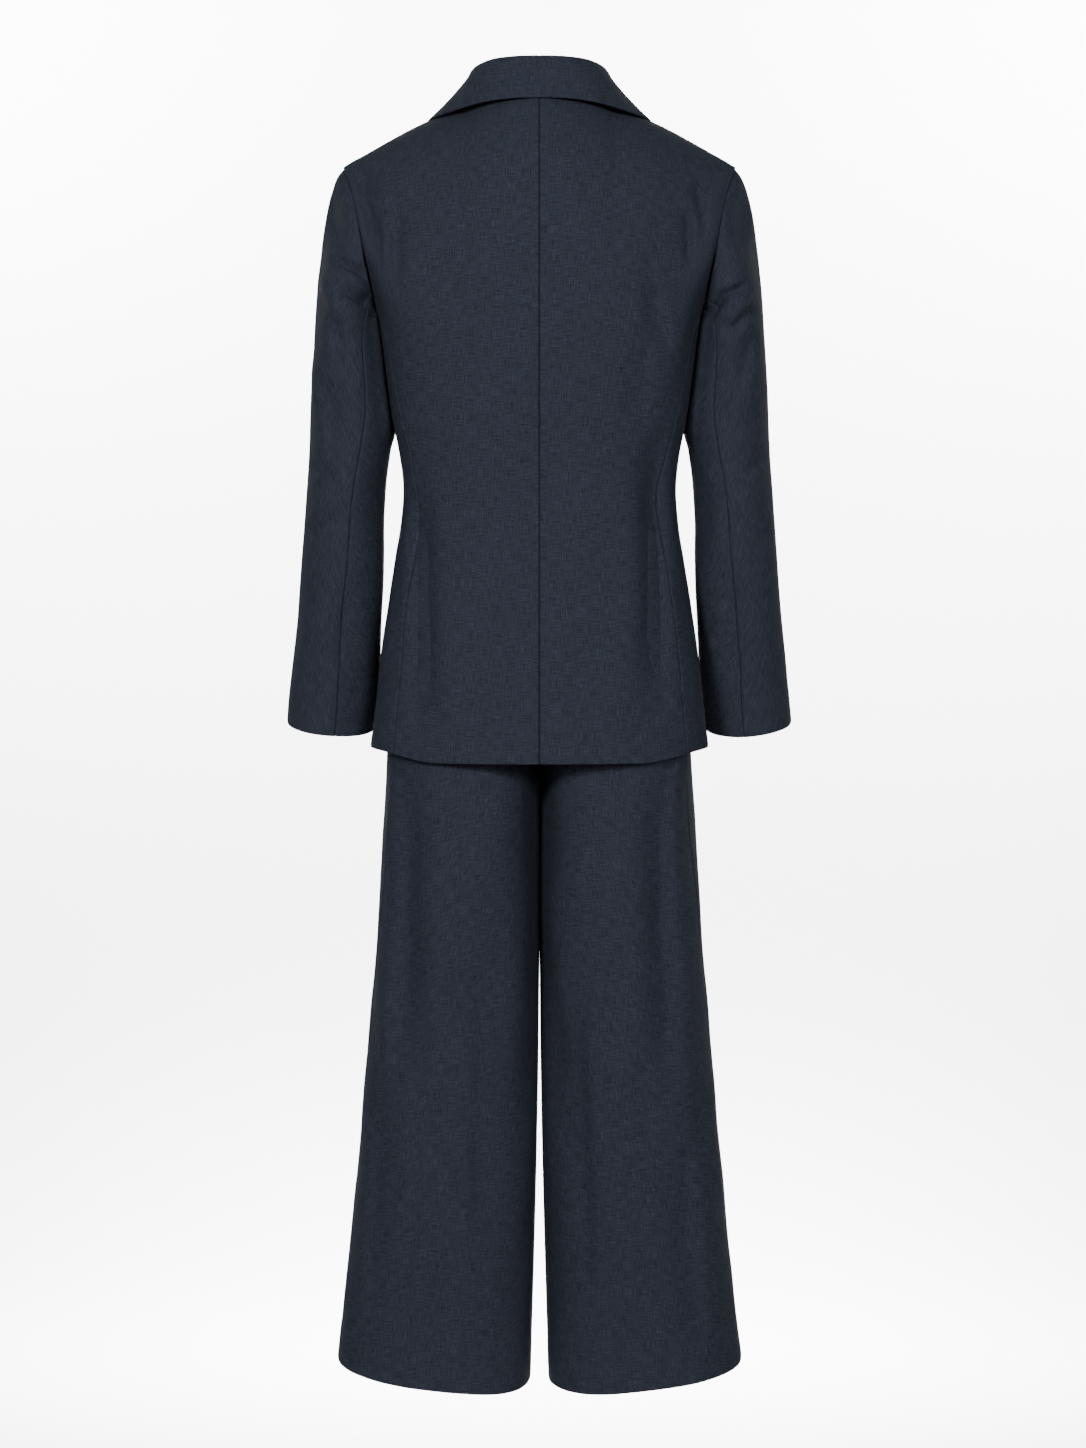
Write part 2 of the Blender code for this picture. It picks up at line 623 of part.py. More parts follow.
def finish_jacket_body(cloth, body):
    back, back_out = body["back"]
    side, side_out = body["side"]
    front, front_out = body["front"]
    edge = body["edge"]
    count = len(edge)
    first = NECK_COLUMNS + SHOULDER_COLUMNS
    side_start = BACK_SEAM_STATION * PER_STATION
    front_start = FRONT_SEAM_STATION * PER_STATION
    back_out[-1, first:] = edge[: side_start + 1]
    side_out[-1] = edge[side_start : front_start + 1]
    front_out[-1, : count - front_start + 1] = edge[np.arange(front_start, count + 1) % count]
    back = troughs(back, back_out, BACK_FOLDS)
    back = trimmed(back, ("left", "right", "last"))
    side = trimmed(side, ("left", "right", "last"))
    front = trimmed(front, ("left", "last"))
    add_pair("jacket_back", back, back_out, JACKET_WALL, cloth)
    add_pair("jacket_side", side, side_out, JACKET_WALL, cloth)
    add_wall("jacket_front_left", lapped(front, "left"), front_out, JACKET_WALL, cloth)
    flip = np.array((-1.0, 1, 1))
    right = lapped(front, "right") * flip
    add_wall("jacket_front_right", right, front_out * flip, JACKET_WALL, cloth)


def make_lapels(cloth):
    """Each lapel turns over at the roll line and lies on its front. The left one starts higher, clear of the lap."""
    lift = JACKET_WALL + LAPEL_GAP
    rise = np.linspace(0, 1, LAPEL_ROWS + 1)
    share = np.linspace(0, 1, LAPEL_COLUMNS + 1)
    rows = np.linspace(0, 2, 80)
    front_edge = front_panel(np.full(rows.shape, 2.0), rows)
    for side, sign, start_z, edge_start in (
        ("left", 1, LEFT_LAPEL_Z, LEFT_LAPEL_EDGE_START),
        ("right", -1, RIGHT_LAPEL_Z, 0),
    ):
        edge = spline(
            np.linspace(0, 1, len(LAPEL_EDGE["x"])),
            np.stack([LAPEL_EDGE["x"], LAPEL_EDGE["z"]], axis=1),
            edge_start + (1 - edge_start) * rise,
        )
        roll_z = start_z + (GORGE_Z - start_z) * rise
        roll_x = np.interp(roll_z, front_edge[:, 2], front_edge[:, 0])
        if side == "left":
            roll_x = np.hypot(roll_x, LEFT_LAPEL_CLEAR)
        x = roll_x[:, None] * (1 - share) + edge[:, :1] * share
        z = roll_z[:, None] * (1 - share) + edge[:, 1:] * share
        points, out = on_front(x, z)
        points = lapped(points, side) + lift * out
        add_wall("lapel_" + side, points * (sign, 1, 1), out * (sign, 1, 1), JACKET_WALL, cloth)


def make_collar(cloth):
    """Two halves that meet at the centre back: a stand that rises, folds over and falls."""
    along = np.linspace(0, 1, COLLAR_COLUMNS + 1)
    knots = np.linspace(0, 1, len(COLLAR["seam_x"]))

    def line(part):
        return spline(knots, np.stack([COLLAR[part + "_" + axis] for axis in "xyz"], axis=1), along)

    seam, fold, edge = line("seam"), line("fold"), line("edge")
    outward = unit((edge - fold) * (1, 1, 0))
    up = np.array((0, 0, 1.0))
    rows = [seam]
    for share in (0.35, 0.7):
        rows.append(seam + share * (fold - seam))
    rows.append(fold - 3.0 * up - 1.0 * outward)
    rows.append(fold + 1.2 * outward - 0.3 * up)
    rows.append(fold + 4.6 * outward - 1.6 * up)
    shoulder = fold + 6.4 * outward - 5.0 * up
    for share in np.linspace(0, 1, COLLAR_ROWS):
        rows.append(shoulder + share * (edge - shoulder))
    points = np.stack(rows)
    out = normals_of(points, outward[len(outward) // 2])
    out[:, 0] = unit(out[:, 0] * (0, 1, 1))
    add_pair("collar", trimmed(points, ("left",)), out, JACKET_WALL, cloth)


def make_trousers(cloth):
    columns = np.linspace(0, 1, LEG_COLUMNS + 1)
    rows = np.concatenate([np.linspace(0, 1, SEAT_ROWS + 1), np.linspace(1, 2, LEG_ROWS + 1)[1:]])
    back = grid(leg_panel, columns, rows, back=True)
    front = grid(leg_panel, columns, rows, back=False)
    back_out = normals_of(back, (0, 1, 0))
    front_out = normals_of(front, (0, -1, 0))
    back_out[:, 0], front_out[:, 0] = match(back_out[:, 0], front_out[:, 0])
    back_out[SEAT_ROWS + 1 :, -1], front_out[SEAT_ROWS + 1 :, -1] = match(
        back_out[SEAT_ROWS + 1 :, -1], front_out[SEAT_ROWS + 1 :, -1]
    )
    add_pair("trouser_back", trimmed(back, ("left", "right", "first")), back_out, TROUSER_WALL, cloth)
    add_pair("trouser_front", trimmed(front, ("left", "right", "first")), front_out, TROUSER_WALL, cloth)


def waistband_points(angle, z):
    """The waistband's outside. angle runs right round, with the right end over the left one."""
    across, along = rounded(angle, LEG_POWER)
    depth = np.where(along > 0, by_height(LEG_SECTIONS, "back", z), by_height(LEG_SECTIONS, "front", z))
    points = np.stack([by_height(LEG_SECTIONS, "outer", z) * across, depth * along, z], axis=-1)
    half_step = (TROUSER_WALL + LAYER_GAP) / 2
    reach = ease((np.abs(angle) - 150) / 25) * np.sign(angle)
    points[..., 1] += half_step * reach
    return points


def make_waistband(cloth):
    end = 180 + WAISTBAND_LAP
    angle, z = np.meshgrid(
        np.linspace(-end, end, WAISTBAND_COLUMNS + 1),
        (float(WAIST_TOP_Z), WAIST_TOP_Z - WAISTBAND_HEIGHT + SEAM_GAP),
    )
    points = waistband_points(angle, z)
    out = normals_of(points, (0, 1, 0))
    add_wall("waistband", points, out, TROUSER_WALL, cloth)


def make_button(name, place, outward, radius, height, material):
    """A turned button with a raised rim, on its axis at `place` and facing `outward`."""
    profile = (
        (0, height * 0.72),
        (radius * 0.55, height * 0.74),
        (radius * 0.72, height),
        (radius * 0.9, height),
        (radius, height * 0.7),
        (radius * 0.94, height * 0.15),
        (radius * 0.8, 0),
        (0, 0),
    )
    turns = 20
    vertices = [(0, 0, profile[0][1]), (0, 0, profile[-1][1])]
    for reach, z in profile[1:-1]:
        for k in range(turns):
            turn = 2 * np.pi * k / turns
            vertices.append((reach * np.cos(turn), reach * np.sin(turn), z))
    faces = []
    last = 2 + (len(profile) - 3) * turns
    for k in range(turns):
        after = (k + 1) % turns
        faces.append((0, 2 + k, 2 + after))
        faces.append((1, last + after, last + k))
        for ring in range(len(profile) - 3):
            low, high = 2 + ring * turns, 2 + (ring + 1) * turns
            faces.append((low + k, high + k, high + after, low + after))
    axis = unit(np.asarray(outward, float))
    side = unit(np.cross((0, 0, 1.0), axis))
    up = np.cross(axis, side)
    local = np.array(vertices)
    world = np.asarray(place) + local @ np.stack([side, up, axis])
    return add_object(name, world, faces, material)


def make_buttons(material):
    place, out = on_front(np.array([0.0]), np.array([float(BUTTON_Z)]))
    place = lapped(place, "right")[0]
    make_button(
        "jacket_button",
        place + out[0] * BUTTON_SEAT,
        out[0] * (0, 1, 1),
        BUTTON_RADIUS,
        BUTTON_HEIGHT,
        material,
    )
    middle = WAIST_TOP_Z - WAISTBAND_HEIGHT / 2
    band = waistband_points(np.array([-180.0]), np.array([middle]))[0]
    make_button(
        "waistband_button",
        band - np.array((0, SEAM_GAP, 0)),
        (0, -1, 0),
        WAIST_BUTTON_RADIUS,
        BUTTON_HEIGHT,
        material,
    )


def make_material(name, colour, roughness):
    material = bpy.data.materials.new(name)
    material.use_nodes = True
    shader = material.node_tree.nodes["Principled BSDF"]
    shader.inputs["Base Color"].default_value = colour
    shader.inputs["Roughness"].default_value = roughness
    shader.inputs["Metallic"].default_value = 0
    material.diffuse_color = colour
    return material


def main():
    for leftover in list(bpy.data.objects):
        bpy.data.objects.remove(leftover)
    collection = bpy.data.collections.new("pantsuit")
    bpy.context.scene.collection.children.link(collection)
    cloth = make_material("navy_worsted", NAVY, 0.85)
    button = make_material("button", BUTTON_COLOUR, 0.35)
    body = make_jacket_body(cloth)
    body["edge"] = make_sleeves(cloth, body["edge"])
    finish_jacket_body(cloth, body)
    make_lapels(cloth)
    make_collar(cloth)
    make_trousers(cloth)
    make_waistband(cloth)
    make_buttons(button)


main()
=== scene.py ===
import json
from math import pi, radians

import bmesh
import bpy
import numpy as np
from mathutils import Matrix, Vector

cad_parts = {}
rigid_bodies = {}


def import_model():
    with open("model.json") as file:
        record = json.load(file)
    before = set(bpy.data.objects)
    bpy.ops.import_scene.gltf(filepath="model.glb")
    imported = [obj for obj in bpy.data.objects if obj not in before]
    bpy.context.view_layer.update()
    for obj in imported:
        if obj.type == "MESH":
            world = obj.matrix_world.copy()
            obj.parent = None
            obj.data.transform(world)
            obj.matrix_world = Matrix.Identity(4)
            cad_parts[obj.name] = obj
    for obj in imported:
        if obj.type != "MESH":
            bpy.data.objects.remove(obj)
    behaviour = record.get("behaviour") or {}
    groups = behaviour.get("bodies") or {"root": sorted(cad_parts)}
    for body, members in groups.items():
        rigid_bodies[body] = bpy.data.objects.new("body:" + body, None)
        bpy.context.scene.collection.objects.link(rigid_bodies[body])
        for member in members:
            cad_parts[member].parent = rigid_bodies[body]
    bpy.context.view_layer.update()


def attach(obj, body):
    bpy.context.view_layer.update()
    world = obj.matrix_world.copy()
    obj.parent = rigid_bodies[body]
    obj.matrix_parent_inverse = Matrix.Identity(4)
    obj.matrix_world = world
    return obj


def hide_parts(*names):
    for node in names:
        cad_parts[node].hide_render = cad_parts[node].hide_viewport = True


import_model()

# All tables below are in millimetres. The front faces -Y and the wearer's left is +X.
mm = 0.001
seamGap = 0.3

# ---- studio ----

studio = {
    "cameraPlace": (-0.0037, 3.6, -0.419),
    "cameraTilt": 86.78,
    "lens": 85.2,
    "floorHeight": -2.2,  # well below the hems
    "sweepStart": 7.0,
    "sweepBend": 2.0,
    "backdropDistance": 6.4,
    "backdropWidth": 3.8,
    "backdropTop": 5.0,
    "paper": (0.90, 0.905, 0.915, 1),
    "worldColour": (0.94, 0.96, 1.0, 1),
    "worldStrength": 0.38,
}
softLights = [  # place, aims at, width, height, watts, spread in degrees
    ((1.6, 3.8, 1.0), (0, 0, -0.3), 0.7, 0.7, 80, 120),
    ((-1.2, 4.0, 0.6), (0, 0, -0.3), 1.0, 1.0, 64, 120),
    ((0, -3.3, 0.8), (0, -3.9, -2.2), 3.2, 1.0, 300, 75),
    ((-2.5, -3.4, 1.9), (-1.7, -6.4, 1.0), 1.4, 1.4, 620, 120),
    ((2.5, -3.4, 1.9), (1.7, -6.4, 1.0), 1.4, 1.4, 620, 120),
    ((-2.4, -2.7, 0.6), (0, 0, -0.5), 1.0, 1.0, 26, 120),
    ((2.4, -2.7, 0.6), (0, 0, -0.5), 1.0, 1.0, 20, 120),
]


def addObject(name, data):
    thing = bpy.data.objects.new(name, data)
    bpy.context.scene.collection.objects.link(thing)
    return thing


def feed(tree, node, inputs):  # each input gets a value, or a link where it is a socket
    for name, value in inputs.items():
        if isinstance(value, bpy.types.NodeSocket):
            tree.links.new(value, node.inputs[name])
        else:
            node.inputs[name].default_value = value
    return node


def addNode(tree, kind, inputs, **settings):
    node = tree.nodes.new(kind)
    for name, value in settings.items():
        setattr(node, name, value)
    return feed(tree, node, inputs)


def newMaterial(name):
    material = bpy.data.materials.new(name)
    material.use_nodes = True
    return material, material.node_tree, material.node_tree.nodes["Principled BSDF"]


def makeStudio():
    view = bpy.data.cameras.new("photoCamera")
    view.lens, view.sensor_width = studio["lens"], 36
    camera = addObject("photoCamera", view)
    camera.location = studio["cameraPlace"]
    camera.rotation_euler = (radians(studio["cameraTilt"]), 0, radians(180))
    bpy.context.scene.camera = camera

    paper, tree, shader = newMaterial("backdropPaper")
    feed(tree, shader, {"Base Color": studio["paper"], "Roughness": 0.9})
    floor, wall, bend = studio["floorHeight"], -studio["backdropDistance"], studio["sweepBend"]
    sweep = [(studio["sweepStart"], floor)]  # y, z from the camera's side to the top of the wall
    for turn in np.linspace(0, pi / 2, 13):
        sweep.append((wall + bend - bend * np.sin(turn), floor + bend - bend * np.cos(turn)))
    sweep.append((wall, studio["backdropTop"]))
    half = studio["backdropWidth"] / 2
    points = [(x, y, z) for x in (-half, half) for y, z in sweep]
    count = len(sweep)
    mesh = bpy.data.meshes.new("backdrop")
    mesh.from_pydata(points, [], [(i, i + 1, i + 1 + count, i + count) for i in range(count - 1)])
    mesh.materials.append(paper)
    mesh.shade_smooth()
    addObject("backdrop", mesh)

    world = bpy.data.worlds.new("studioAir")
    world.use_nodes = True
    air = {"Color": studio["worldColour"], "Strength": studio["worldStrength"]}
    feed(world.node_tree, world.node_tree.nodes["Background"], air)
    bpy.context.scene.world = world
    for number, (place, target, width, height, watts, opening) in enumerate(softLights):
        lamp = bpy.data.lights.new(f"softbox{number}", "AREA")
        lamp.shape, lamp.spread = "RECTANGLE", radians(opening)
        lamp.size, lamp.size_y, lamp.energy = width, height, watts
        holder = addObject(f"softbox{number}", lamp)
        holder.location = place
        holder.rotation_euler = (Vector(target) - Vector(place)).to_track_quat("-Z", "Y").to_euler()
        holder.visible_camera = False
    print("studio: backdrop, camera and", len(softLights), "soft lights")


# ---- materials ----

clothLook = {
    "warpColour": (0.0064, 0.0081, 0.0125, 1),
    "weftColour": (0.0210, 0.0246, 0.0345, 1),
    "threadPitch": 0.55,  # mm from one thread to the next
    "weaveContrast": 0.18,
    "weaveDepth": 0.07,
    "bumpStrength": 0.5,
    "slubLength": 14.0,  # mm along a thick or thin place in a thread
    "slubWidth": 0.62,
    "slubStrength": 0.54,
    "slubContrast": 2.4,
    "slubHeight": 1.2,
    "slubRoughness": 0.12,
    "fleckSize": 1.0,
    "fleckStrength": 0.55,
    "mottle": 0.03,
    "mottleSize": (50, 70),
    "mottleContrast": 3.0,
    "roughness": 0.88,
    "specular": 0.06,
    "sheen": 0.008,
    "sheenRoughness": 0.5,
    "sheenTint": (0.62, 0.70, 0.86, 1),
}
buttonLook = {
    "dark": (0.006, 0.008, 0.012, 1),
    "light": (0.016, 0.020, 0.027, 1),
    "stops": (0.35, 0.75),
    "scale": 190,
    "detail": 4,
    "distortion": 1.4,
    "roughness": 0.42,
    "wear": 0.16,
    "specular": 0.25,
}
threadLook = {
    "dark": (0.014, 0.019, 0.029, 1),
    "light": (0.0336, 0.0456, 0.0696, 1),
    "stops": (0, 1),
    "scale": 2600,
    "detail": 2,
    "distortion": 0,
    "roughness": 0.6,
    "wear": 0,
    "specular": 0.5,
}


def newGroup(name, inputs, outputs, kind="ShaderNodeTree"):
    group = bpy.data.node_groups.new(name, kind)
    addSocket = group.interface.new_socket
    for label, form, value in inputs:
        socket = addSocket(name=label, in_out="INPUT", socket_type="NodeSocket" + form)
        if value is not None:
            socket.default_value = value
    for label, form in outputs:
        addSocket(name=label, in_out="OUTPUT", socket_type="NodeSocket" + form)
    return group, group.nodes.new("NodeGroupInput"), group.nodes.new("NodeGroupOutput")


def maths(tree, operation, *values):
    return addNode(tree, "ShaderNodeMath", dict(enumerate(values)), operation=operation).outputs[0]


def noiseAlong(tree, place, lengthU, lengthV, detail=1.5):  # noise with grains this long, in mm
    grain = {0: place, 1: (lengthU * mm, lengthV * mm, 1)}
    scaled = addNode(tree, "ShaderNodeVectorMath", grain, operation="DIVIDE").outputs[0]
    inputs = {"Vector": scaled, "Scale": 1.0, "Detail": detail}
    return addNode(tree, "ShaderNodeTexNoise", inputs, noise_dimensions="2D").outputs["Fac"]


def makePlainWeave():  # threads over and under, with thick and thin places, and faint mottling
    look = clothLook
    group, start, end = newGroup(
        "plainWeave",
        [
            ("Place", "Vector", None),
            ("Warp Colour", "Color", look["warpColour"]),
            ("Weft Colour", "Color", look["weftColour"]),
            ("Thread Pitch", "Float", look["threadPitch"] * mm),
            ("Slub Strength", "Float", look["slubStrength"]),
            ("Mottle", "Float", look["mottle"]),
        ],
        [("Colour", "Color"), ("Height", "Float"), ("Roughness Shift", "Float")],
    )
    asked, place = start.outputs, start.outputs["Place"]

    def thread(axis):
        count = maths(group, "DIVIDE", split.outputs[axis], asked["Thread Pitch"])
        return maths(group, "SINE", maths(group, "MULTIPLY", count, pi))

    def around(noise, strength):
        return maths(group, "MULTIPLY", maths(group, "SUBTRACT", noise, 0.5), strength)

    split = addNode(group, "ShaderNodeSeparateXYZ", {0: place})
    over = maths(group, "MULTIPLY", thread(0), thread(1))
    warpSlub = noiseAlong(group, place, look["slubWidth"], look["slubLength"])
    weftSlub = noiseAlong(group, place, look["slubLength"], look["slubWidth"])
    slubs = maths(group, "SUBTRACT", maths(group, "ADD", warpSlub, weftSlub), 1.0)
    fine = noiseAlong(group, place, look["fleckSize"], look["fleckSize"], 0.5)
    flecks = around(fine, look["fleckStrength"])
    mottled = around(noiseAlong(group, place, *look["mottleSize"], 3.0), asked["Mottle"])
    uneven = maths(group, "MULTIPLY", maths(group, "ADD", slubs, flecks), asked["Slub Strength"])
    share = maths(group, "MULTIPLY_ADD", over, look["weaveContrast"], 0.5)
    share = maths(group, "MULTIPLY_ADD", uneven, look["slubContrast"], share)
    share = maths(group, "MULTIPLY_ADD", mottled, look["mottleContrast"], share)
    inputs = {"Factor": share, 6: asked["Warp Colour"], 7: asked["Weft Colour"]}
    mix = addNode(group, "ShaderNodeMix", inputs, data_type="RGBA", clamp_factor=True)
    height = maths(group, "MULTIPLY_ADD", slubs, look["slubHeight"], maths(group, "ABSOLUTE", over))
    shift = maths(group, "MULTIPLY", slubs, look["slubRoughness"])
    feed(group, end, {"Colour": mix.outputs[2], "Height": height, "Roughness Shift": shift})
    return group


def makeCloth(weave):
    look = clothLook
    cloth, tree, shader = newMaterial("navyWorsted")
    grain = addNode(tree, "ShaderNodeUVMap", {}, uv_map="grain")
    asked = {
        "Place": grain.outputs[0],
        "Thread Pitch": look["threadPitch"] * mm,
        "Slub Strength": look["slubStrength"],
        "Mottle": look["mottle"],
        "Warp Colour": look["warpColour"],
        "Weft Colour": look["weftColour"],
    }
    threads = addNode(tree, "ShaderNodeGroup", {}, node_tree=weave)
    feed(tree, threads, asked)
    raised = {
        "Strength": look["bumpStrength"],
        "Distance": look["weaveDepth"] * mm,
        "Height": threads.outputs["Height"],
    }
    surface = {
        "Base Color": threads.outputs["Colour"],
        "Roughness": maths(tree, "ADD", threads.outputs["Roughness Shift"], look["roughness"]),
        "Normal": addNode(tree, "ShaderNodeBump", raised).outputs[0],
        "Sheen Weight": look["sheen"],
        "Sheen Roughness": look["sheenRoughness"],
        "Sheen Tint": look["sheenTint"],
        "Specular IOR Level": look["specular"],
    }
    feed(tree, shader, surface)
    return cloth


def makeSwirled(name, look):  # from dark to light in a swirl
    material, tree, shader = newMaterial(name)
    place = addNode(tree, "ShaderNodeTexCoord", {}).outputs["Object"]
    inputs = {"Vector": place}
    for label in ("Scale", "Detail", "Distortion"):
        inputs[label] = look[label.lower()]
    swirl = addNode(tree, "ShaderNodeTexNoise", inputs).outputs["Fac"]
    ramp = addNode(tree, "ShaderNodeValToRGB", {"Fac": swirl})
    for stop, at, tone in zip(ramp.color_ramp.elements, look["stops"], ("dark", "light")):
        stop.position, stop.color = at, look[tone]
    rough = maths(tree, "MULTIPLY_ADD", swirl, look["wear"], look["roughness"])
    feed(tree, shader, {"Base Color": ramp.outputs["Color"], "Roughness": rough})
    feed(tree, shader, {"Specular IOR Level": look["specular"]})
    return material


# ---- curves and cut pieces ----


def spline(knots, values, at):  # a smooth curve through values at rising knots
    knots = np.asarray(knots, float)
    values = np.asarray(values, float).reshape(len(knots), -1)
    slopes = np.gradient(values, knots, axis=0)
    at = np.clip(np.ravel(at), knots[0], knots[-1])
    low = np.clip(np.searchsorted(knots, at, side="right") - 1, 0, len(knots) - 2)
    step = (knots[low + 1] - knots[low])[:, None]
    t = (at - knots[low])[:, None] / step
    start = (1 + 2 * t) * (1 - t) ** 2 * values[low] + t * (1 - t) ** 2 * step * slopes[low]
    end = t * t * (3 - 2 * t) * values[low + 1] + t * t * (t - 1) * step * slopes[low + 1]
    return start + end


def byHeight(table, column, z):
    heights = np.asarray(table["z"], float)
    order = np.argsort(heights)
    return spline(heights[order], np.asarray(table[column], float)[order], z).reshape(np.shape(z))


def roundedSection(angle, power):
    turn = np.radians(angle)
    return [np.sign(wave) * np.abs(wave) ** (2 / power) for wave in (np.sin(turn), np.cos(turn))]


def unit(vectors):
    return vectors / np.maximum(np.linalg.norm(vectors, axis=-1, keepdims=True), 1e-9)


def bezier(start, startPull, endPull, end, t):
    t = np.asarray(t)[..., None]
    first = (1 - t) ** 3 * start + 3 * t * (1 - t) ** 2 * startPull
    return first + 3 * t * t * (1 - t) * endPull + t**3 * end


def ease(value):
    value = np.clip(value, 0, 1)
    return value * value * (3 - 2 * value)


jacketForm = {
    "z": (-665, -591, -544, -497, -449, -412, -376, -340, -303, -262, -220, -180),
    "half": (180, 171.5, 165.5, 158.5, 151, 145.8, 143.3, 146.5, 153.5, 159.2, 164.5, 171.5),
    "back": (127, 124, 119.5, 112.5, 104, 98.5, 95.5, 97, 101.5, 107, 111.5, 114),
    "front": (135, 132, 128.5, 125, 121, 119, 118, 121, 128, 136, 139, 137),
    "backSeam": (55, 56, 58, 59, 60, 61, 62, 63, 65, 68.5, 73, 77),  # degrees from the centre back
}
jacketCut = {
    "squareness": 2.4,
    "yokeZ": -220,
    "hemZ": -644.5,
    "hemBackDrop": 11,
    "hemFrontDrop": 6,
    "frontSeam": 118,  # degrees from the centre back
    "overlap": 20,
    "breakZ": -350,
    "neckPoint": (75, -2, 25),
    "nape": (0, -2, 66),
    "necklineCut": 0.23,
    "shoulderMiddle": (133, 3, -0.6),
}
armholeForm = {
    "x": (204.5, 197, 190.5, 185.5, 181, 176.5, 173, 171.3, 170.5, 168, 164, 160.5, 160, 165, 177, 191.5),
    "y": (4, 28, 44, 53, 54, 46, 33, 18, 2, -16, -32, -44, -51, -49, -38, -18),
    "z": (-40, -59.5, -81.5, -106, -131, -153, -170, -182, -187, -184, -174, -158, -135, -108, -80, -56),
}
armholeSteps = len(armholeForm["x"])
backSeamStep, frontSeamStep, elbowSeamStep, innerSeamStep = 7, 11, 6, 10


def armhole(step):
    knots = np.arange(-2, armholeSteps + 3)
    table = np.stack([armholeForm[axis] for axis in "xyz"], axis=1)
    return spline(knots, table[knots % armholeSteps], step)


def bodySection(z, angle):
    across, along = roundedSection(angle, jacketCut["squareness"])
    depth = np.where(along > 0, byHeight(jacketForm, "back", z), byHeight(jacketForm, "front", z))
    return np.stack([byHeight(jacketForm, "half", z) * across, depth * along, z], axis=-1)


def frontEdgeAngle(z):
    neckX, _, neckZ = jacketCut["neckPoint"]
    rise = np.maximum(z - jacketCut["breakZ"], 0) / (neckZ - jacketCut["breakZ"])
    lap = jacketCut["overlap"]
    share = (-lap + (neckX + lap) * rise) / byHeight(jacketForm, "half", z)
    turn = np.arcsin(np.abs(share) ** (jacketCut["squareness"] / 2))
    return 180 - np.sign(share) * np.degrees(turn)


def jacketHem(angle):
    across, along = roundedSection(angle, jacketCut["squareness"])
    dip = ease((1 - np.abs(across)) / 0.42)
    drop = np.where(along > 0, jacketCut["hemBackDrop"], jacketCut["hemFrontDrop"])
    return jacketCut["hemZ"] - drop * dip


def bodyPanel(angleAt, top, arrival, row):  # row: 0 hem, 1 yoke line, 2 top edge
    yokeZ = jacketCut["yokeZ"]
    low = np.minimum(row, 1)
    z = np.full_like(low, jacketCut["hemZ"], dtype=float)
    for _ in range(3):
        hem = jacketHem(angleAt(z))
        z = hem + (yokeZ - hem) * low
    lower = bodySection(z, angleAt(z))
    yoke = np.full(np.shape(row), float(yokeZ))
    foot = angleAt(yoke)
    start = bodySection(yoke, foot)
    upward = unit(bodySection(yoke + 12, foot) - start)
    pull = 0.36 * np.linalg.norm(top - start, axis=-1, keepdims=True)
    up = np.clip(row - 1, 0, 1)
    upper = bezier(start, start + pull * upward, top - pull * unit(arrival), top, up)
    return np.where((row <= 1)[..., None], lower, upper)


def backPanel(across, row):  # across: 0 centre back, 1 neck point, 2 shoulder point, 3 side seam
    flat = across.ravel()
    nape, neck = np.array(jacketCut["nape"], float), np.array(jacketCut["neckPoint"], float)
    rise = np.clip(flat, 0, 1)[:, None]
    ridge = nape + (neck - nape) * np.concatenate([rise, rise, rise**1.4], axis=1)
    seam = (neck, jacketCut["shoulderMiddle"], armhole(0)[0])
    shoulder = spline((0, 0.5, 1), seam, np.clip(flat - 1, 0, 1))
    side = armhole(np.clip(flat - 2, 0, 1) * backSeamStep)
    place = flat[:, None]
    top = np.where(place <= 1, ridge, np.where(place <= 2, shoulder, side))
    share = spline((0, 1, 2, 2.71, 3), (0, 0.3, 0.59, 0.82, 1), flat)[:, 0]
    flatTop = (0, -1, 0.14)
    steepening = (0.4, -0.85, 0.34), (0.36, -0.5, 0.78), (0.4, -0.3, 0.86), (0.2, -0.14, 0.97)
    arrival = spline((0, 1, 2, 2.29, 2.71, 3), (flatTop, flatTop, *steepening), flat)

    def angleAt(z):
        return share * byHeight(jacketForm, "backSeam", z)

    neckline = 1 - jacketCut["necklineCut"] * np.sqrt(np.clip(1 - flat**2, 0, 1))
    down = row.ravel()
    lift = np.where(down > 1, 1 + (down - 1) * neckline, down)
    return bodyPanel(angleAt, top, arrival, lift).reshape(*across.shape, 3)


def sidePanel(across, row):  # across: 0 back seam, 1 front seam
    flat = across.ravel()
    top = armhole(backSeamStep + flat * (frontSeamStep - backSeamStep))
    arrival = spline((0, 0.5, 1), ((0.2, -0.14, 0.97), (0.05, 0.05, 1), (0.1, 0.35, 0.9)), flat)

    def angleAt(z):
        backSeam = byHeight(jacketForm, "backSeam", z)
        return backSeam + flat * (jacketCut["frontSeam"] - backSeam)

    return bodyPanel(angleAt, top, arrival, row.ravel()).reshape(*across.shape, 3)


def frontPanel(across, row):  # across: 0 side seam, 1 shoulder point, 2 roll line
    flat = across.ravel()
    share = spline((0, 1, 2), (0, 0.4, 1), flat)[:, 0]
    side = armhole(frontSeamStep + np.clip(flat, 0, 1) * (armholeSteps - frontSeamStep))
    seam = (armhole(0)[0], jacketCut["shoulderMiddle"], jacketCut["neckPoint"])
    shoulder = spline((0, 0.5, 1), seam, np.clip(flat - 1, 0, 1))
    top = np.where((flat <= 1)[:, None], side, shoulder)
    arrivals = (0.1, 0.35, 0.9), (0.42, 0.5, 0.75), (0.6, 0.7, 0.38), (0.12, 0.85, 0.5)
    arrival = spline((0, 0.5, 1, 2), arrivals, flat)

    def angleAt(z):
        return jacketCut["frontSeam"] + share * (frontEdgeAngle(z) - jacketCut["frontSeam"])

    return bodyPanel(angleAt, top, arrival, row.ravel()).reshape(*across.shape, 3)


def slopesOf(panel, across, row, small=1e-3):
    here = panel(across, row)
    beside, above = panel(across + small, row), panel(across, row + small)
    return here, (beside - here) / small, (above - here) / small


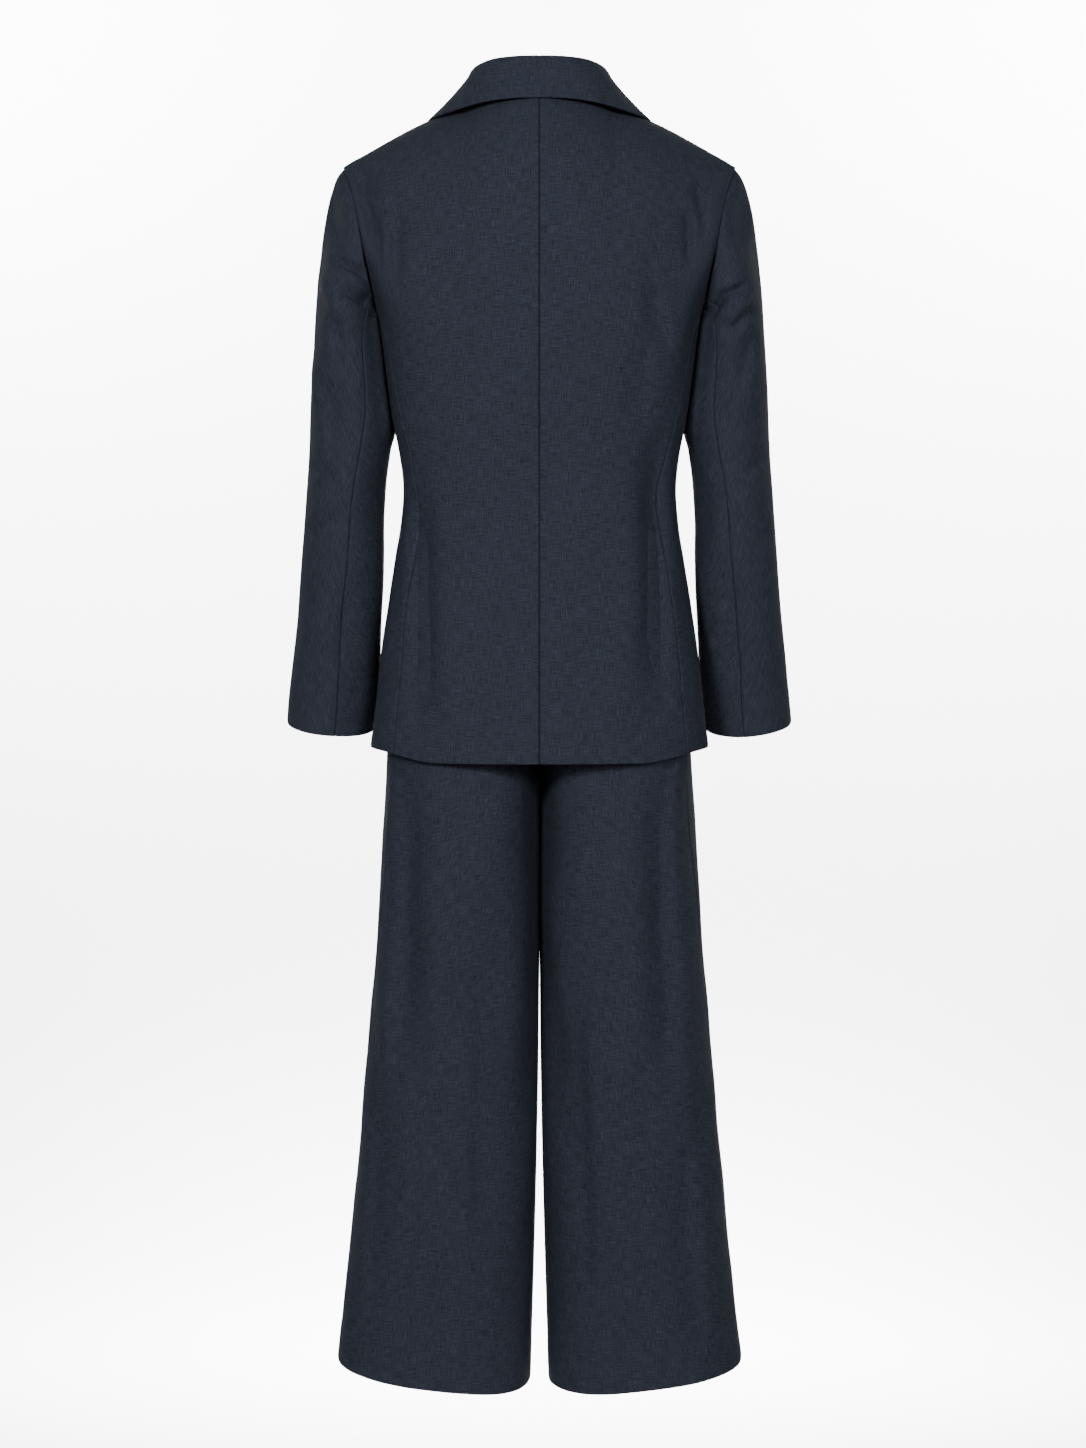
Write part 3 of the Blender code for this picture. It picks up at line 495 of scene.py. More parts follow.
def onPanel(panel, ends, axis, place, z, start):  # points with this z and this x or y (axis 0 or 1)
    across, row = (np.full(place.shape, float(value)) for value in start)
    for _ in range(25):
        here, slopeA, slopeR = slopesOf(panel, across, row)
        miss, missZ = place - here[..., axis], z - here[..., 2]
        det = slopeA[..., axis] * slopeR[..., 2] - slopeA[..., 2] * slopeR[..., axis]
        det = np.where(np.abs(det) < 1, 1, det)
        moveA = (miss * slopeR[..., 2] - missZ * slopeR[..., axis]) / det
        moveR = (slopeA[..., axis] * missZ - slopeA[..., 2] * miss) / det
        across = np.clip(across + np.clip(moveA, -0.2, 0.2), 0.002, ends - 0.002)
        row = np.clip(row + np.clip(moveR, -0.2, 0.2), 0.02, 1.998)
    here, slopeA, slopeR = slopesOf(panel, across, row)
    return here, unit(np.cross(slopeA, slopeR))


def onFront(x, z):
    here, normals = onPanel(frontPanel, 2, 0, x, z, (1.6, 1.2))
    return here, np.where(normals[..., 1:2] > 0, -normals, normals)


def lapped(points, side, wall=2.0, layerGap=0.6):  # the right front lies out over the left one
    near = ease((70 - points[..., 0]) / 45)
    low = ease((jacketCut["breakZ"] + 190 - points[..., 2]) / 90)
    shifted = points.copy()
    shifted[..., 1] += (1 if side == "left" else -1) * (wall + layerGap) / 2 * near * low
    return shifted


sleeveForm = {
    "z": (-230, -262, -303, -334, -366, -398, -449, -512, -580, -632),
    "inner": (163.9, 159.5, 153.6, 156.5, 161, 163.3, 164.3, 166.8, 170.5, 176),
    "outer": (236.5, 239, 241.5, 242.8, 244.5, 246.5, 250.5, 256.5, 263.5, 269.5),
    "middle": (-8, -14, -19, -20, -20, -20, -24, -33, -46, -58),
    "depth": (62, 60, 57, 55, 53, 52, 51, 49, 48, 48),
    "elbow": (-30, -28, -23, -19, -16, -13, -10, -7, -7, -9),
    "lean": (0, 0, 0, 0, 0, 0.03, 0.08, 0.13, 0.18, 0.21),
}
sleeveCut = {"innerSeam": 222, "cuffSlope": 0.085, "cuffRise": 7}


def sleeveSection(z, share, upper):
    elbow = byHeight(sleeveForm, "elbow", z)
    inSeam = sleeveCut["innerSeam"]
    angle = elbow + share * (inSeam - elbow) if upper else inSeam + share * (360 + elbow - inSeam)
    inner, outer = byHeight(sleeveForm, "inner", z), byHeight(sleeveForm, "outer", z)
    middle, depth = byHeight(sleeveForm, "middle", z), byHeight(sleeveForm, "depth", z)
    lean = byHeight(sleeveForm, "lean", z)
    turn = np.radians(angle)
    out = (outer - inner) / 2 * np.sin(turn)
    back = depth * np.cos(turn)
    top, cuff = sleeveForm["z"][0], sleeveForm["z"][-1]
    down = ease((top - z) / (top - cuff))
    height = z + sleeveCut["cuffRise"] * down + sleeveCut["cuffSlope"] * down * out
    return np.stack([(inner + outer) / 2 + out, middle + back, height - lean * back], axis=-1)


def sleevePanel(share, row, upper):  # row: 0 at the armhole, 1 below the cap, 2 at the cuff
    flat, down = share.ravel(), row.ravel()
    if upper:
        overTop = armholeSteps - innerSeamStep + elbowSeamStep
        step = (elbowSeamStep - flat * overTop) % armholeSteps
    else:
        step = innerSeamStep + flat * (elbowSeamStep - innerSeamStep)
    ring = armhole(step)
    low, high = min(armholeForm["z"]), max(armholeForm["z"])
    climb = (ring[:, 2:] - low) / (high - low)
    top, cuff = sleeveForm["z"][0], sleeveForm["z"][-1]
    end = sleeveSection(np.full(flat.shape, float(top)), flat, upper)
    below = sleeveSection(np.full(flat.shape, top - 10.0), flat, upper)
    reach = np.linalg.norm(end - ring, axis=-1, keepdims=True)
    leaving = unit((end - ring) / reach + 0.42 * climb * np.array((1.0, 0, 0)))
    startPull, endPull = ring + 0.25 * reach * leaving, end - 0.4 * reach * unit(below - end)
    cap = bezier(ring, startPull, endPull, end, np.clip(down, 0, 1))
    tube = sleeveSection(top + (cuff - top) * np.clip(down - 1, 0, 1), flat, upper)
    return np.where((down <= 1)[:, None], cap, tube).reshape(*share.shape, 3)


legForm = {
    "z": (-340, -385, -430, -480, -540, -604, -670, -759, -866, -972, -1079, -1186, -1320),
    "outer": (126, 128, 138, 147, 153.5, 158, 161, 166, 173, 182, 191, 201.5, 216),
    "back": (80, 83, 89, 94.5, 98, 100, 103, 104, 101, 97, 93, 89, 85),
    "front": (98, 100, 102, 104, 104, 104, 103, 100, 97, 94, 91, 88, 85),
    "parted": (0, 0, 0, 0.12, 0.55, 1, 1, 1, 1, 1, 1, 1, 1),
    "seam": (82, 80, 74, 68, 62, 60, 60, 66, 73, 78, 80, 82, 82),
}
legGap = {  # how far each inseam is from the centre: the thighs touch, and the legs part below them
    "z": (-340, -604, -759, -845, -858, -880, -907, -972, -1079, -1186, -1320),
    "gap": (0, 0, 0, 0, 0, 0.2, 0.5, 1.2, 3.1, 5.9, 10.0),
}
legCut = {
    "squareness": 2.45,
    "waistZ": -350,
    "waistband": 35,
    "crotchZ": -604,
    "hemZ": -1303,
    "hemSlope": 0.115,
    "hemDip": 0.095,
    "bandLap": 7,
    "crevice": 4.6,  # the thighs round off behind the line where they touch
}


def legPanel(share, row, back):  # share: 0 side seam, 1 seat seam or inseam; row: from the waist
    flat, down = share.ravel(), row.ravel()
    top = legCut["waistZ"] - legCut["waistband"]
    z = np.interp(down, (0, 1, 2), (top, legCut["crotchZ"], legCut["hemZ"]))
    outer, gap = byHeight(legForm, "outer", z), np.clip(byHeight(legGap, "gap", z), 0, None)
    parted = np.clip(byHeight(legForm, "parted", z), 0, 1)
    half = (outer - parted * gap) / (1 + parted)
    middle = outer - half
    crossing = np.degrees(np.arcsin(np.clip(middle / half, 0, 1) ** (legCut["squareness"] / 2)))
    crossing = np.where(down >= 1, 90, crossing)
    seam = byHeight(legForm, "seam", z)
    angle = seam + flat * ((-crossing if back else 180 + crossing) - seam)
    across, along = roundedSection(angle, legCut["squareness"])
    depth = np.where(along > 0, byHeight(legForm, "back", z), byHeight(legForm, "front", z))
    x = np.maximum(middle + half * across, gap * parted)
    crevice = ease((-600 - z) / 60) * ease((z + 925) / 70) * ease((np.abs(depth * along) - 6) / 34)
    x = x + legCut["crevice"] * crevice * np.exp(-((x / 14) ** 2))
    y = depth * along
    z = z + ease(down - 1) * (legCut["hemSlope"] * (x - (outer + gap) / 2) - legCut["hemDip"] * y)
    return np.stack([x, y, z], axis=-1).reshape(*share.shape, 3)


def waistbandPoints(angle, z):
    across, along = roundedSection(angle, legCut["squareness"])
    depth = np.where(along > 0, byHeight(legForm, "back", z), byHeight(legForm, "front", z))
    points = np.stack([byHeight(legForm, "outer", z) * across, depth * along, z], axis=-1)
    points[..., 1] += 1.05 * ease((np.abs(angle) - 150) / 25) * np.sign(angle)
    return points


# ---- walls of cloth ----


def drawn(panel, columns, rows, **more):
    across, row = np.meshgrid(np.asarray(columns, float), np.asarray(rows, float))
    return panel(across, row, **more)


def spread(first, last, count, span, ends="both", near=(0.35, 0.8, 1.4, 2.3, 3.6)):
    # even lines over so many mm, with closer ones these mm from the ends
    close = np.asarray(near) / span
    low = close if ends != "last" else close[:0]
    high = 1 - close if ends != "first" else close[:0]
    share = np.linspace(0, 1, count + 1)
    clearLow = close[-1] * 1.25 if len(low) else 0
    clearHigh = close[-1] * 1.25 if len(high) else 0
    even = share[(share > clearLow) & (share < 1 - clearHigh)]
    return first + (last - first) * np.unique(np.concatenate([[0], low, even, high, [1]]))


def normalsOf(points, outward):
    normals = unit(np.cross(np.gradient(points, axis=1), np.gradient(points, axis=0)))
    middle = normals[normals.shape[0] // 2, normals.shape[1] // 2]
    return normals if middle @ np.asarray(outward, float) > 0 else -normals


edgeOf = {
    "left": (slice(None), 0),
    "right": (slice(None), -1),
    "first": (0, slice(None)),
    "last": (-1, slice(None)),
}


def share(first, firstEdge, second, secondEdge):  # edges that meet get the same normals
    one, two = first[firstEdge].copy(), second[secondEdge].copy()
    agree = np.clip(4 * np.sum(one * two, axis=-1, keepdims=True), 0, 1)
    first[firstEdge], second[secondEdge] = unit(one + agree * two), unit(two + agree * one)


def edgeDistance(points, side):  # how far each point is from one side of the piece, along the cloth
    axis = 1 if side in ("left", "right") else 0
    steps = np.linalg.norm(np.diff(points, axis=axis), axis=-1)
    zero = np.zeros_like(np.take(steps, [0], axis=axis))
    if side in ("left", "first"):
        return np.concatenate([zero, np.cumsum(steps, axis=axis)], axis=axis)
    back = np.flip(np.cumsum(np.flip(steps, axis=axis), axis=axis), axis=axis)
    return np.concatenate([back, zero], axis=axis)


def tucked(points, amount=1.0):  # the first row goes on in under the piece that it is sewn to
    points = points.copy()
    points[0] -= amount * unit(points[1] - points[0])
    return points


def foldDepth(points, normals, folds, facing):
    # each fold: from x, z to x, z, width, depth (a ridge where negative), with one side steeper
    depth = np.zeros(points.shape[:2])
    for fromX, fromZ, toX, toZ, width, deep in folds:
        start = np.array((fromX, fromZ), float)
        run = np.array((toX, toZ), float) - start
        place = points[..., (0, 2)] - start
        along = (place @ run) / (run @ run)
        near = np.clip(along, 0, 1)
        off = np.linalg.norm(place - near[..., None] * run, axis=-1)
        side = (place[..., 0] * run[1] - place[..., 1] * run[0]) / np.linalg.norm(run) / width
        reach = width * (1.05 + 0.5 * np.tanh(3 * side) * (1 if deep > 0 else 0))
        taper = ease((along + 0.12) / 0.4) * ease((1.12 - along) / 0.4)
        depth += deep * taper * np.exp(-((off / reach) ** 2))
    return depth * np.clip(normals[..., 1] * facing * 2.2, 0, 1)


waveLook = {"seed": 12, "broad": 1.0, "fine": 0.16}


def makeWaves():
    numbers = np.random.default_rng(waveLook["seed"])
    waves = []
    sorts = (9, 60, 150, waveLook["broad"]), (12, 22, 48, waveLook["fine"])
    for count, shortest, longest, size in sorts:
        for _ in range(count):
            direction = unit(numbers.normal(size=3) * (1, 1, 0.5))
            length = numbers.uniform(shortest, longest)
            waves.append((direction, length, numbers.uniform(0, 2 * pi), size * np.sqrt(2 / count)))
    return waves


clothWaves = makeWaves()


def unevenness(points):  # the slow unevenness of worn cloth, which runs on from piece to piece
    height = np.zeros(points.shape[:-1])
    for direction, length, phase, size in clothWaves:
        height += size * np.sin(points @ direction * 2 * pi / length + phase)
    return height


def draped(points, normals, sign, folds, facing, keepFolds, keepWaves):
    depth = foldDepth(points, normals, folds, facing) * keepFolds
    level = 0.3 + 0.7 * ease(np.abs(normals[..., 1]) / 0.6)  # the sides stay straighter
    depth -= unevenness(points * (sign, 1, 1)) * keepWaves * level
    return points - depth[..., None] * normals


def rolledIn(points, normals, sides, depth, width):  # seams sink and free edges turn in
    amount = np.zeros(points.shape[:2])
    for side in sides:
        amount = np.maximum(amount, depth * np.exp(-((edgeDistance(points, side) / width) ** 2)))
    return points - amount[..., None] * normals


def hemmed(points, normals, side, height, thickness):  # the turned-up hem shows as a faint step
    distance = edgeDistance(points, side)
    band = ease((height + 2 - distance) / 4)
    return points + (thickness * band)[..., None] * normals


def addWall(name, outer, normals, wall, material):
    rows, columns = outer.shape[:2]
    inner = outer - wall * normals
    count = rows * columns
    index = np.arange(count).reshape(rows, columns)
    a, b, c, d = index[:-1, :-1], index[:-1, 1:], index[1:, 1:], index[1:, :-1]
    front = np.stack([a, b, c, d], axis=-1).reshape(-1, 4)
    back = np.stack([a, d, c, b], axis=-1).reshape(-1, 4) + count
    rim = np.concatenate([index[0], index[1:, -1], index[-1, -2::-1], index[-2:0:-1, 0]])
    after = np.roll(rim, -1)
    edge = np.stack([rim, rim + count, after + count, after], axis=-1)
    faces = np.concatenate([front, back, edge])
    points = np.concatenate([outer.reshape(-1, 3), inner.reshape(-1, 3)])
    middle = faces[len(front) // 2]
    corner = points[middle]
    facing = np.cross(corner[1] - corner[0], corner[2] - corner[0])
    if facing @ normals.reshape(-1, 3)[middle[0]] < 0:
        faces = faces[:, ::-1]
    mesh = bpy.data.meshes.new(name)
    mesh.vertices.add(len(points))
    mesh.vertices.foreach_set("co", (points * mm).astype(np.float32).ravel())
    mesh.loops.add(faces.size)
    mesh.loops.foreach_set("vertex_index", faces.astype(np.int32).ravel())
    mesh.polygons.add(len(faces))
    mesh.polygons.foreach_set("loop_start", np.arange(0, faces.size, 4, dtype=np.int32))
    mesh.update(calc_edges=True)
    across, along = edgeDistance(outer, "left"), edgeDistance(outer, "first")
    grain = np.stack([across, along], axis=-1).reshape(-1, 2) * mm
    grain += np.array((0.137, 0.071)) * len(bpy.data.objects)  # each is cut from its own place
    grain = np.concatenate([grain, grain])
    layer = mesh.uv_layers.new(name="grain")
    layer.uv.foreach_set("vector", grain[faces.ravel()].astype(np.float32).ravel())
    mesh.materials.append(material)
    mesh.shade_smooth()
    mesh.set_sharp_from_angle(angle=radians(60))
    return addObject(name, mesh)


def addPiece(name, node, sign, points, normals, wall, cloth):
    piece = addWall(name, points * (sign, 1, 1), normals * (sign, 1, 1), wall, cloth)
    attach(piece, "root")
    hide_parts(node)


# ---- jacket body and sleeves ----

jacketLook = {
    "wall": 1.2,
    "seamDepth": 2.0,
    "seamWidth": 0.85,
    "holeDepth": 1.1,
    "holeWidth": 1.0,
    "edgeDepth": 0.5,
    "edgeWidth": 1.4,
    "hemHeight": 17,
    "hemStep": 0.3,
    "backFlat": (0.245, 0.732),
    "backArea": 0.121,
    "sideFlat": (0.161, 0.500),
    "sideArea": 0.0612,
    "frontFlat": (0.296, 0.738),
    "frontArea": 0.116,
}
sleeveLook = {
    "wall": 1.2,
    "seamDepth": 1.6,
    "seamWidth": 0.85,
    "capDepth": 3.6,
    "capWidth": 1.8,
    "ropeDepth": 2.2,
    "ropeWidth": 8.0,  # at the shoulder point, where the head of the sleeve lies lower
    "cuffHeight": 38,
    "cuffStep": 0.2,
    "hugGap": 0.6,
    "hugReach": 14,
    "topFlat": (0.329, 0.590),
    "topArea": 0.1083,
    "underFlat": (0.109, 0.476),
    "underArea": 0.048,
}
foldsLeft = [  # body and sleeve: from x, z to x, z, width, depth
    (189, -46, 171, -126, 6.5, 6.8),
    (158, -70, 157, -152, 4.5, -2.8),
    (148, -88, 147, -168, 6.5, 4.5),
    (134, -104, 138, -178, 8, -1.5),
    (128, -372, 126, -622, 15, 11.9),
    (104, -340, 100, -600, 15, -2.5),
    (146.5, -396, 156.5, -485, 2.2, -1.9),
    (214, -139, 174, -160, 5, 8.2),
    (206, -171, 171, -188, 5.5, 8.2),
    (226, -150, 197, -216, 8, -4),
    (214, -196, 203, -256, 9, 6.8),
    (222, -66, 207, -132, 9, 4.2),
    (236, -240, 228, -292, 5.5, -3),
    (226, -262, 214, -334, 10, 5.2),
    (188, -245, 196, -320, 10, -2.8),
    (246, -352, 205, -372, 9, 4),
    (200, -395, 244, -424, 10, 3.8),
    (196, -470, 210, -560, 12, 3.5),
]
foldsRight = [
    (168, -58, 171, -108, 5, 7),
    (156, -90, 155, -146, 5, 6.2),
    (120, -168, 130, -232, 10, 5.5),
    (108, -230, 104, -310, 12, 4.5),
    (124, -322, 126, -600, 15, 11.9),
    (100, -340, 100, -560, 15, -2.5),
    (169, -198, 186, -177, 5, 8.8),
    (181, -178, 214, -165, 5, 8.2),
    (190, -204, 216, -178, 5.5, -3.8),
    (195, -214, 221, -186, 5.5, 6.2),
    (216, -70, 209, -130, 9, 4.2),
    (224, -214, 206, -282, 10, 6),
    (200, -250, 210, -330, 11, -2.8),
    (246, -340, 205, -366, 9, 4),
    (198, -400, 244, -430, 10, 3.8),
    (214, -480, 204, -580, 12, 3.5),
]
frontFolds = [
    (60, -358, 118, -330, 10, 2.4),
    (58, -372, 128, -374, 12, 2.2),
    (62, -392, 126, -430, 12, 2.0),
    (150, -90, 128, -160, 12, 2.2),
]
armholeRing = armhole(np.linspace(0, armholeSteps, 161))


def fromArmhole(points):
    return np.linalg.norm(points[..., None, :] - armholeRing, axis=-1).min(axis=-1)


def underTheArm(points):  # 1 where sleeve and body lie against each other
    x, y, z = points[..., 0], points[..., 1], points[..., 2]
    return ease((x - 118) / 25) * ease((184 - x) / 12) * ease((z + 362) / 25) * ease((66 - y) / 20)


def hugged(points, normals):  # the inner side of the sleeve closes up to the body below the armhole
    look = sleeveLook
    z = points[..., 2]
    amount = ease((-normals[..., 0] - 0.12) / 0.3) * ease((z + 338) / 30) * ease((-184 - z) / 8)
    pick = amount > 0
    body, _ = onPanel(sidePanel, 1, 1, points[pick][:, 1], z[pick], (0.5, 1.0))
    gap = points[pick][:, 0] - body[:, 0]
    t = np.clip((gap - look["hugGap"]) / (look["hugReach"] - look["hugGap"]), 0, 1)
    closer = look["hugGap"] + (look["hugReach"] - look["hugGap"]) * t**3 * (3 - 2 * t)
    missed = np.abs(body[:, 1] - points[pick][:, 1]) > 1.5
    closer = np.where((gap > look["hugReach"]) | missed, gap, closer)
    points = points.copy()
    points[pick, 0] += amount[pick] * (closer - gap)
    return points


def makeJacketHalf(side, cloth):
    look, sleeve = jacketLook, sleeveLook
    sign = 1 if side == "left" else -1
    folds = foldsLeft if side == "left" else foldsRight
    skirt = spread(0, 1, 104, 425, "first", near=(0.4, 0.9, 1.6, 2.6, 4))
    rows = np.concatenate([skirt[:-1], spread(1, 2, 66, 235, "last")])
    shoulder = np.linspace(1, 2, 31)
    neck = spread(0, 1, 24, 75, "first")
    backColumns = np.concatenate([neck[:-1], shoulder, spread(2, 3, 20, 75, "last")[1:]])
    frontSide = spread(0, 1, 28, 80, "first")[:-1]
    frontColumns = np.concatenate([frontSide, spread(1, 2, 44, 100, "last")])
    head = spread(0, 1, 46, 190, "first", near=(0.35, 0.8, 1.4, 2.2, 3.2, 4.6, 6.5, 9))
    sleeveRows = np.concatenate([head[:-1], spread(1, 2, 110, 400, "last")])
    grids = {
        "back": drawn(backPanel, backColumns, rows),
        "side": drawn(sidePanel, spread(0, 1, 38, 130), rows),
        "front": drawn(frontPanel, frontColumns, rows),
        "top": drawn(sleevePanel, spread(0, 1, 80, 250), sleeveRows, upper=True),
        "under": drawn(sleevePanel, spread(0, 1, 34, 90), sleeveRows, upper=False),
    }
    outward = {
        "back": (0, 1, 0),
        "side": (1, 0, 0),
        "front": (0, -1, 0),
        "top": (1, 0, 0),
        "under": (-1, 0, 0),
    }
    joins = [
        ("back", "right", "side", "left"),
        ("side", "right", "front", "left"),
        ("top", "left", "under", "right"),
        ("top", "right", "under", "left"),
    ]

    def normalsOfAll():
        normals = {name: normalsOf(grid, outward[name]) for name, grid in grids.items()}
        for first, firstEdge, second, secondEdge in joins:
            share(normals[first], edgeOf[firstEdge], normals[second], edgeOf[secondEdge])
        normals["back"][:, 0] = unit(normals["back"][:, 0] * (0, 1, 1))
        return normals

    normals = normalsOfAll()
    for name, grid in grids.items():
        away = fromArmhole(grid)
        keepWaves = ease(away / 10) * (1 - underTheArm(grid))
        if name in ("back", "side", "front"):
            keepWaves = keepWaves * ease((-8 - grid[..., 2]) / 45)
        if name == "back":
            keepWaves = keepWaves * ease(grid[..., 0] / 14)
        if name == "front":
            keepWaves = keepWaves * ease((edgeDistance(grid, "right") - 80) / 50)
        facing = -1 if name == "front" else 1
        here = frontFolds if name == "front" else folds
        keepFolds = ease(away / 6) * (ease(grid[..., 0] / 8) if name == "back" else 1)
        grids[name] = draped(grid, normals[name], sign, here, facing, keepFolds, keepWaves)
    for name in ("top", "under"):
        grids[name] = hugged(grids[name], normals[name])
    low, high = min(armholeForm["z"]), max(armholeForm["z"])
    climbs = {}  # how far up the armhole each point of the joining edge is
    for name, grid in grids.items():
        edge = grid[0 if name in ("top", "under") else -1, :, 2]
        climbs[name] = np.clip((edge - low) / (high - low), 0, 1)
    normals = normalsOfAll()
    for name in ("back", "side", "front"):
        grid, normal = grids[name], normals[name]
        sides = ("left", "right")[: 1 if name == "front" else 2]
        grid = rolledIn(grid, normal, sides, look["seamDepth"], look["seamWidth"])
        depth = look["holeDepth"] * ease(climbs[name] / 0.25)
        grid = rolledIn(grid, normal, ("last",), depth, look["holeWidth"])
        turned = ("first", "right") if name == "front" else ("first",)
        grid = rolledIn(grid, normal, turned, look["edgeDepth"], look["edgeWidth"])
        grids[name] = hemmed(grid, normal, "first", look["hemHeight"], look["hemStep"])
    for name in ("top", "under"):
        grid, normal, climb = grids[name], normals[name], climbs[name]
        grid = rolledIn(grid, normal, ("left", "right"), sleeve["seamDepth"], sleeve["seamWidth"])
        atPoint = ease((climb - 0.88) / 0.12)
        width = sleeve["capWidth"] + (sleeve["ropeWidth"] - sleeve["capWidth"]) * atPoint
        depth = sleeve["capDepth"] + (sleeve["ropeDepth"] - sleeve["capDepth"]) * atPoint
        grid = rolledIn(grid, normal, ("first",), depth * ease(climb / 0.25), width)
        grid = rolledIn(grid, normal, ("last",), look["edgeDepth"], look["edgeWidth"])
        grids[name] = tucked(hemmed(grid, normal, "last", sleeve["cuffHeight"], sleeve["cuffStep"]))
    grids["back"][:, 0, 0] = 0
    grids["front"] = lapped(grids["front"], side)
    normals = normalsOfAll()
    restsOn = {"top": "jacket_back_" + side, "under": "jacket_side_" + side}
    for name in grids:
        kind, own = ("sleeve", sleeve) if name in restsOn else ("jacket", look)
        addPiece(
            kind + name.title() + side.title(),
            f"{kind}_{name}_{side}",
            sign,
            grids[name],
            normals[name],
            look["wall"],
            cloth,
        )
    print("jacket", side, "half")


# ---- collar and lapels ----

lapelLook = {
    "edgeX": (-12, 22, 62, 98, 121),
    "edgeZ": (-344, -280, -190, -110, -42),
    "gorgeZ": -12,
    "rightStart": -338,
    "leftStart": -305,
    "leftEdgeStart": 0.25,
    "leftClear": 5,
    "lift": 3.0,
    "wall": 1.6,
    "edgeDepth": 0.45,
    "edgeWidth": 1.3,
    "rollDepth": 0.9,
    "rollWidth": 2.2,
    "belly": 1.2,  # the lapel springs off the front between its roll and its edge
    "leftFlat": (0.105, 0.300),
    "leftArea": 0.0160,
    "rightFlat": (0.115, 0.345),
    "rightArea": 0.0171,
}
collarForm = {
    "seamX": (0, 26, 49, 67, 74.5, 72.5, 68, 62),
    "seamY": (60, 56, 45, 25, -2, -24, -43, -59),
    "seamZ": (35.8, 31, 26.8, 24.4, 26.2, 18, 6, -9),
    "foldX": (0, 25, 47, 63, 70, 70, 67.5, 63),
    "foldY": (61, 57, 45, 24, -2, -27, -48, -65),
    "foldZ": (67.5, 67.2, 65.8, 61.3, 52.5, 39, 22, 2.5),
    "edgeX": (0, 32, 62, 91, 113.5, 118.5, 116, 108),
    "edgeY": (72.5, 70, 59, 37, 8, -20, -42, -60),
    "edgeZ": (23.5, 22.6, 19.4, 14.0, 9.4, 5, -4, -17),
}
collarLook = {
    "wall": 1.7,
    "seamDepth": 0.6,
    "edgeDepth": 0.45,
    "edgeWidth": 1.3,
    "flat": (0.090, 0.215),
    "area": 0.0152,
}


def makeLapels(cloth):
    look = lapelLook
    down = np.linspace(0, 2, 400)
    frontEdge = frontPanel(np.full(down.shape, 2.0), down)
    rise = spread(0, 1, 84, 330, near=(0.5, 1.2, 2.2))
    inward = spread(0, 1, 30, 95, near=(0.5, 1.2, 2.2))
    for side, sign, startZ, edgeStart in (
        ("left", 1, look["leftStart"], look["leftEdgeStart"]),
        ("right", -1, look["rightStart"], 0),
    ):
        edge = spline(
            np.linspace(0, 1, len(look["edgeX"])),
            np.stack([look["edgeX"], look["edgeZ"]], axis=1),
            edgeStart + (1 - edgeStart) * rise,
        )
        rollZ = startZ + (look["gorgeZ"] - startZ) * rise
        rollX = np.interp(rollZ, frontEdge[:, 2], frontEdge[:, 0])
        if side == "left":
            rollX = np.hypot(rollX, look["leftClear"])
        x = rollX[:, None] * (1 - inward) + edge[:, :1] * inward
        z = rollZ[:, None] * (1 - inward) + edge[:, 1:] * inward
        points, normals = onFront(x, z)
        spring = look["belly"] * np.sin(pi * inward)[None, :] ** 1.5
        spring = spring * np.sin(pi * rise)[:, None] ** 0.5
        points = lapped(points, side) + (look["lift"] + spring)[..., None] * normals
        free = ("first", "right", "last")
        points = rolledIn(points, normals, free, look["edgeDepth"], look["edgeWidth"])
        points = rolledIn(points, normals, ("left",), look["rollDepth"], look["rollWidth"])
        wall, flat, area = look["wall"], look[side + "Flat"], look[side + "Area"]
        name, node, restsOn = "lapel" + side.title(), "lapel_" + side, ["jacket_front_" + side]
        addPiece(name, node, sign, points, normals, wall, cloth)


def makeCollar(cloth):
    look = collarLook
    along = spread(0, 1, 72, 190, near=(0.35, 0.8, 1.4, 2.3))
    knots = np.linspace(0, 1, len(collarForm["seamX"]))

    def line(part):
        return spline(knots, np.stack([collarForm[part + axis] for axis in "XYZ"], axis=1), along)

    seam, fold, edge = line("seam"), line("fold"), line("edge")
    outward = unit((edge - fold) * (1, 1, 0))
    up = np.array((0, 0, 1.0))
    stand = [seam + part * (fold - seam) for part in (0, 0.35, 0.7)]
    roll = [
        fold - 3.0 * up - 1.0 * outward,
        fold + 1.2 * outward - 0.3 * up,
        fold + 4.6 * outward - 1.6 * up,
        fold + 6.4 * outward - 5.0 * up,
    ]
    leaf = [roll[-1] + part * (edge - roll[-1]) for part in (1 / 3, 2 / 3, 1)]
    profile = np.stack(stand + roll + leaf)
    lengths = np.linalg.norm(np.diff(profile, axis=0), axis=-1).mean(axis=1)
    places = np.concatenate([[0], np.cumsum(lengths)])
    rows = spread(0, places[-1], 44, places[-1], near=(0.5, 1.1, 2.0))
    columns = [spline(places, profile[:, column], rows) for column in range(profile.shape[1])]
    fine = np.stack(columns, axis=1)
    middle = outward[len(outward) // 2]
    for side, sign in (("left", 1), ("right", -1)):
        normals = normalsOf(fine, middle)
        normals[:, 0] = unit(normals[:, 0] * (0, 1, 1))
        points = rolledIn(fine, normals, ("left",), look["seamDepth"], look["edgeWidth"])
        points = rolledIn(points, normals, ("right", "last"), look["edgeDepth"], look["edgeWidth"])
        points = tucked(points, 3.0)
        wall, flat, area = look["wall"], look["flat"], look["area"]
        name, node, restsOn = "collar" + side.title(), "collar_" + side, ["jacket_back_" + side]
        addPiece(name, node, sign, points, normals, wall, cloth)
    print("collar and lapels")


# ---- trousers ----

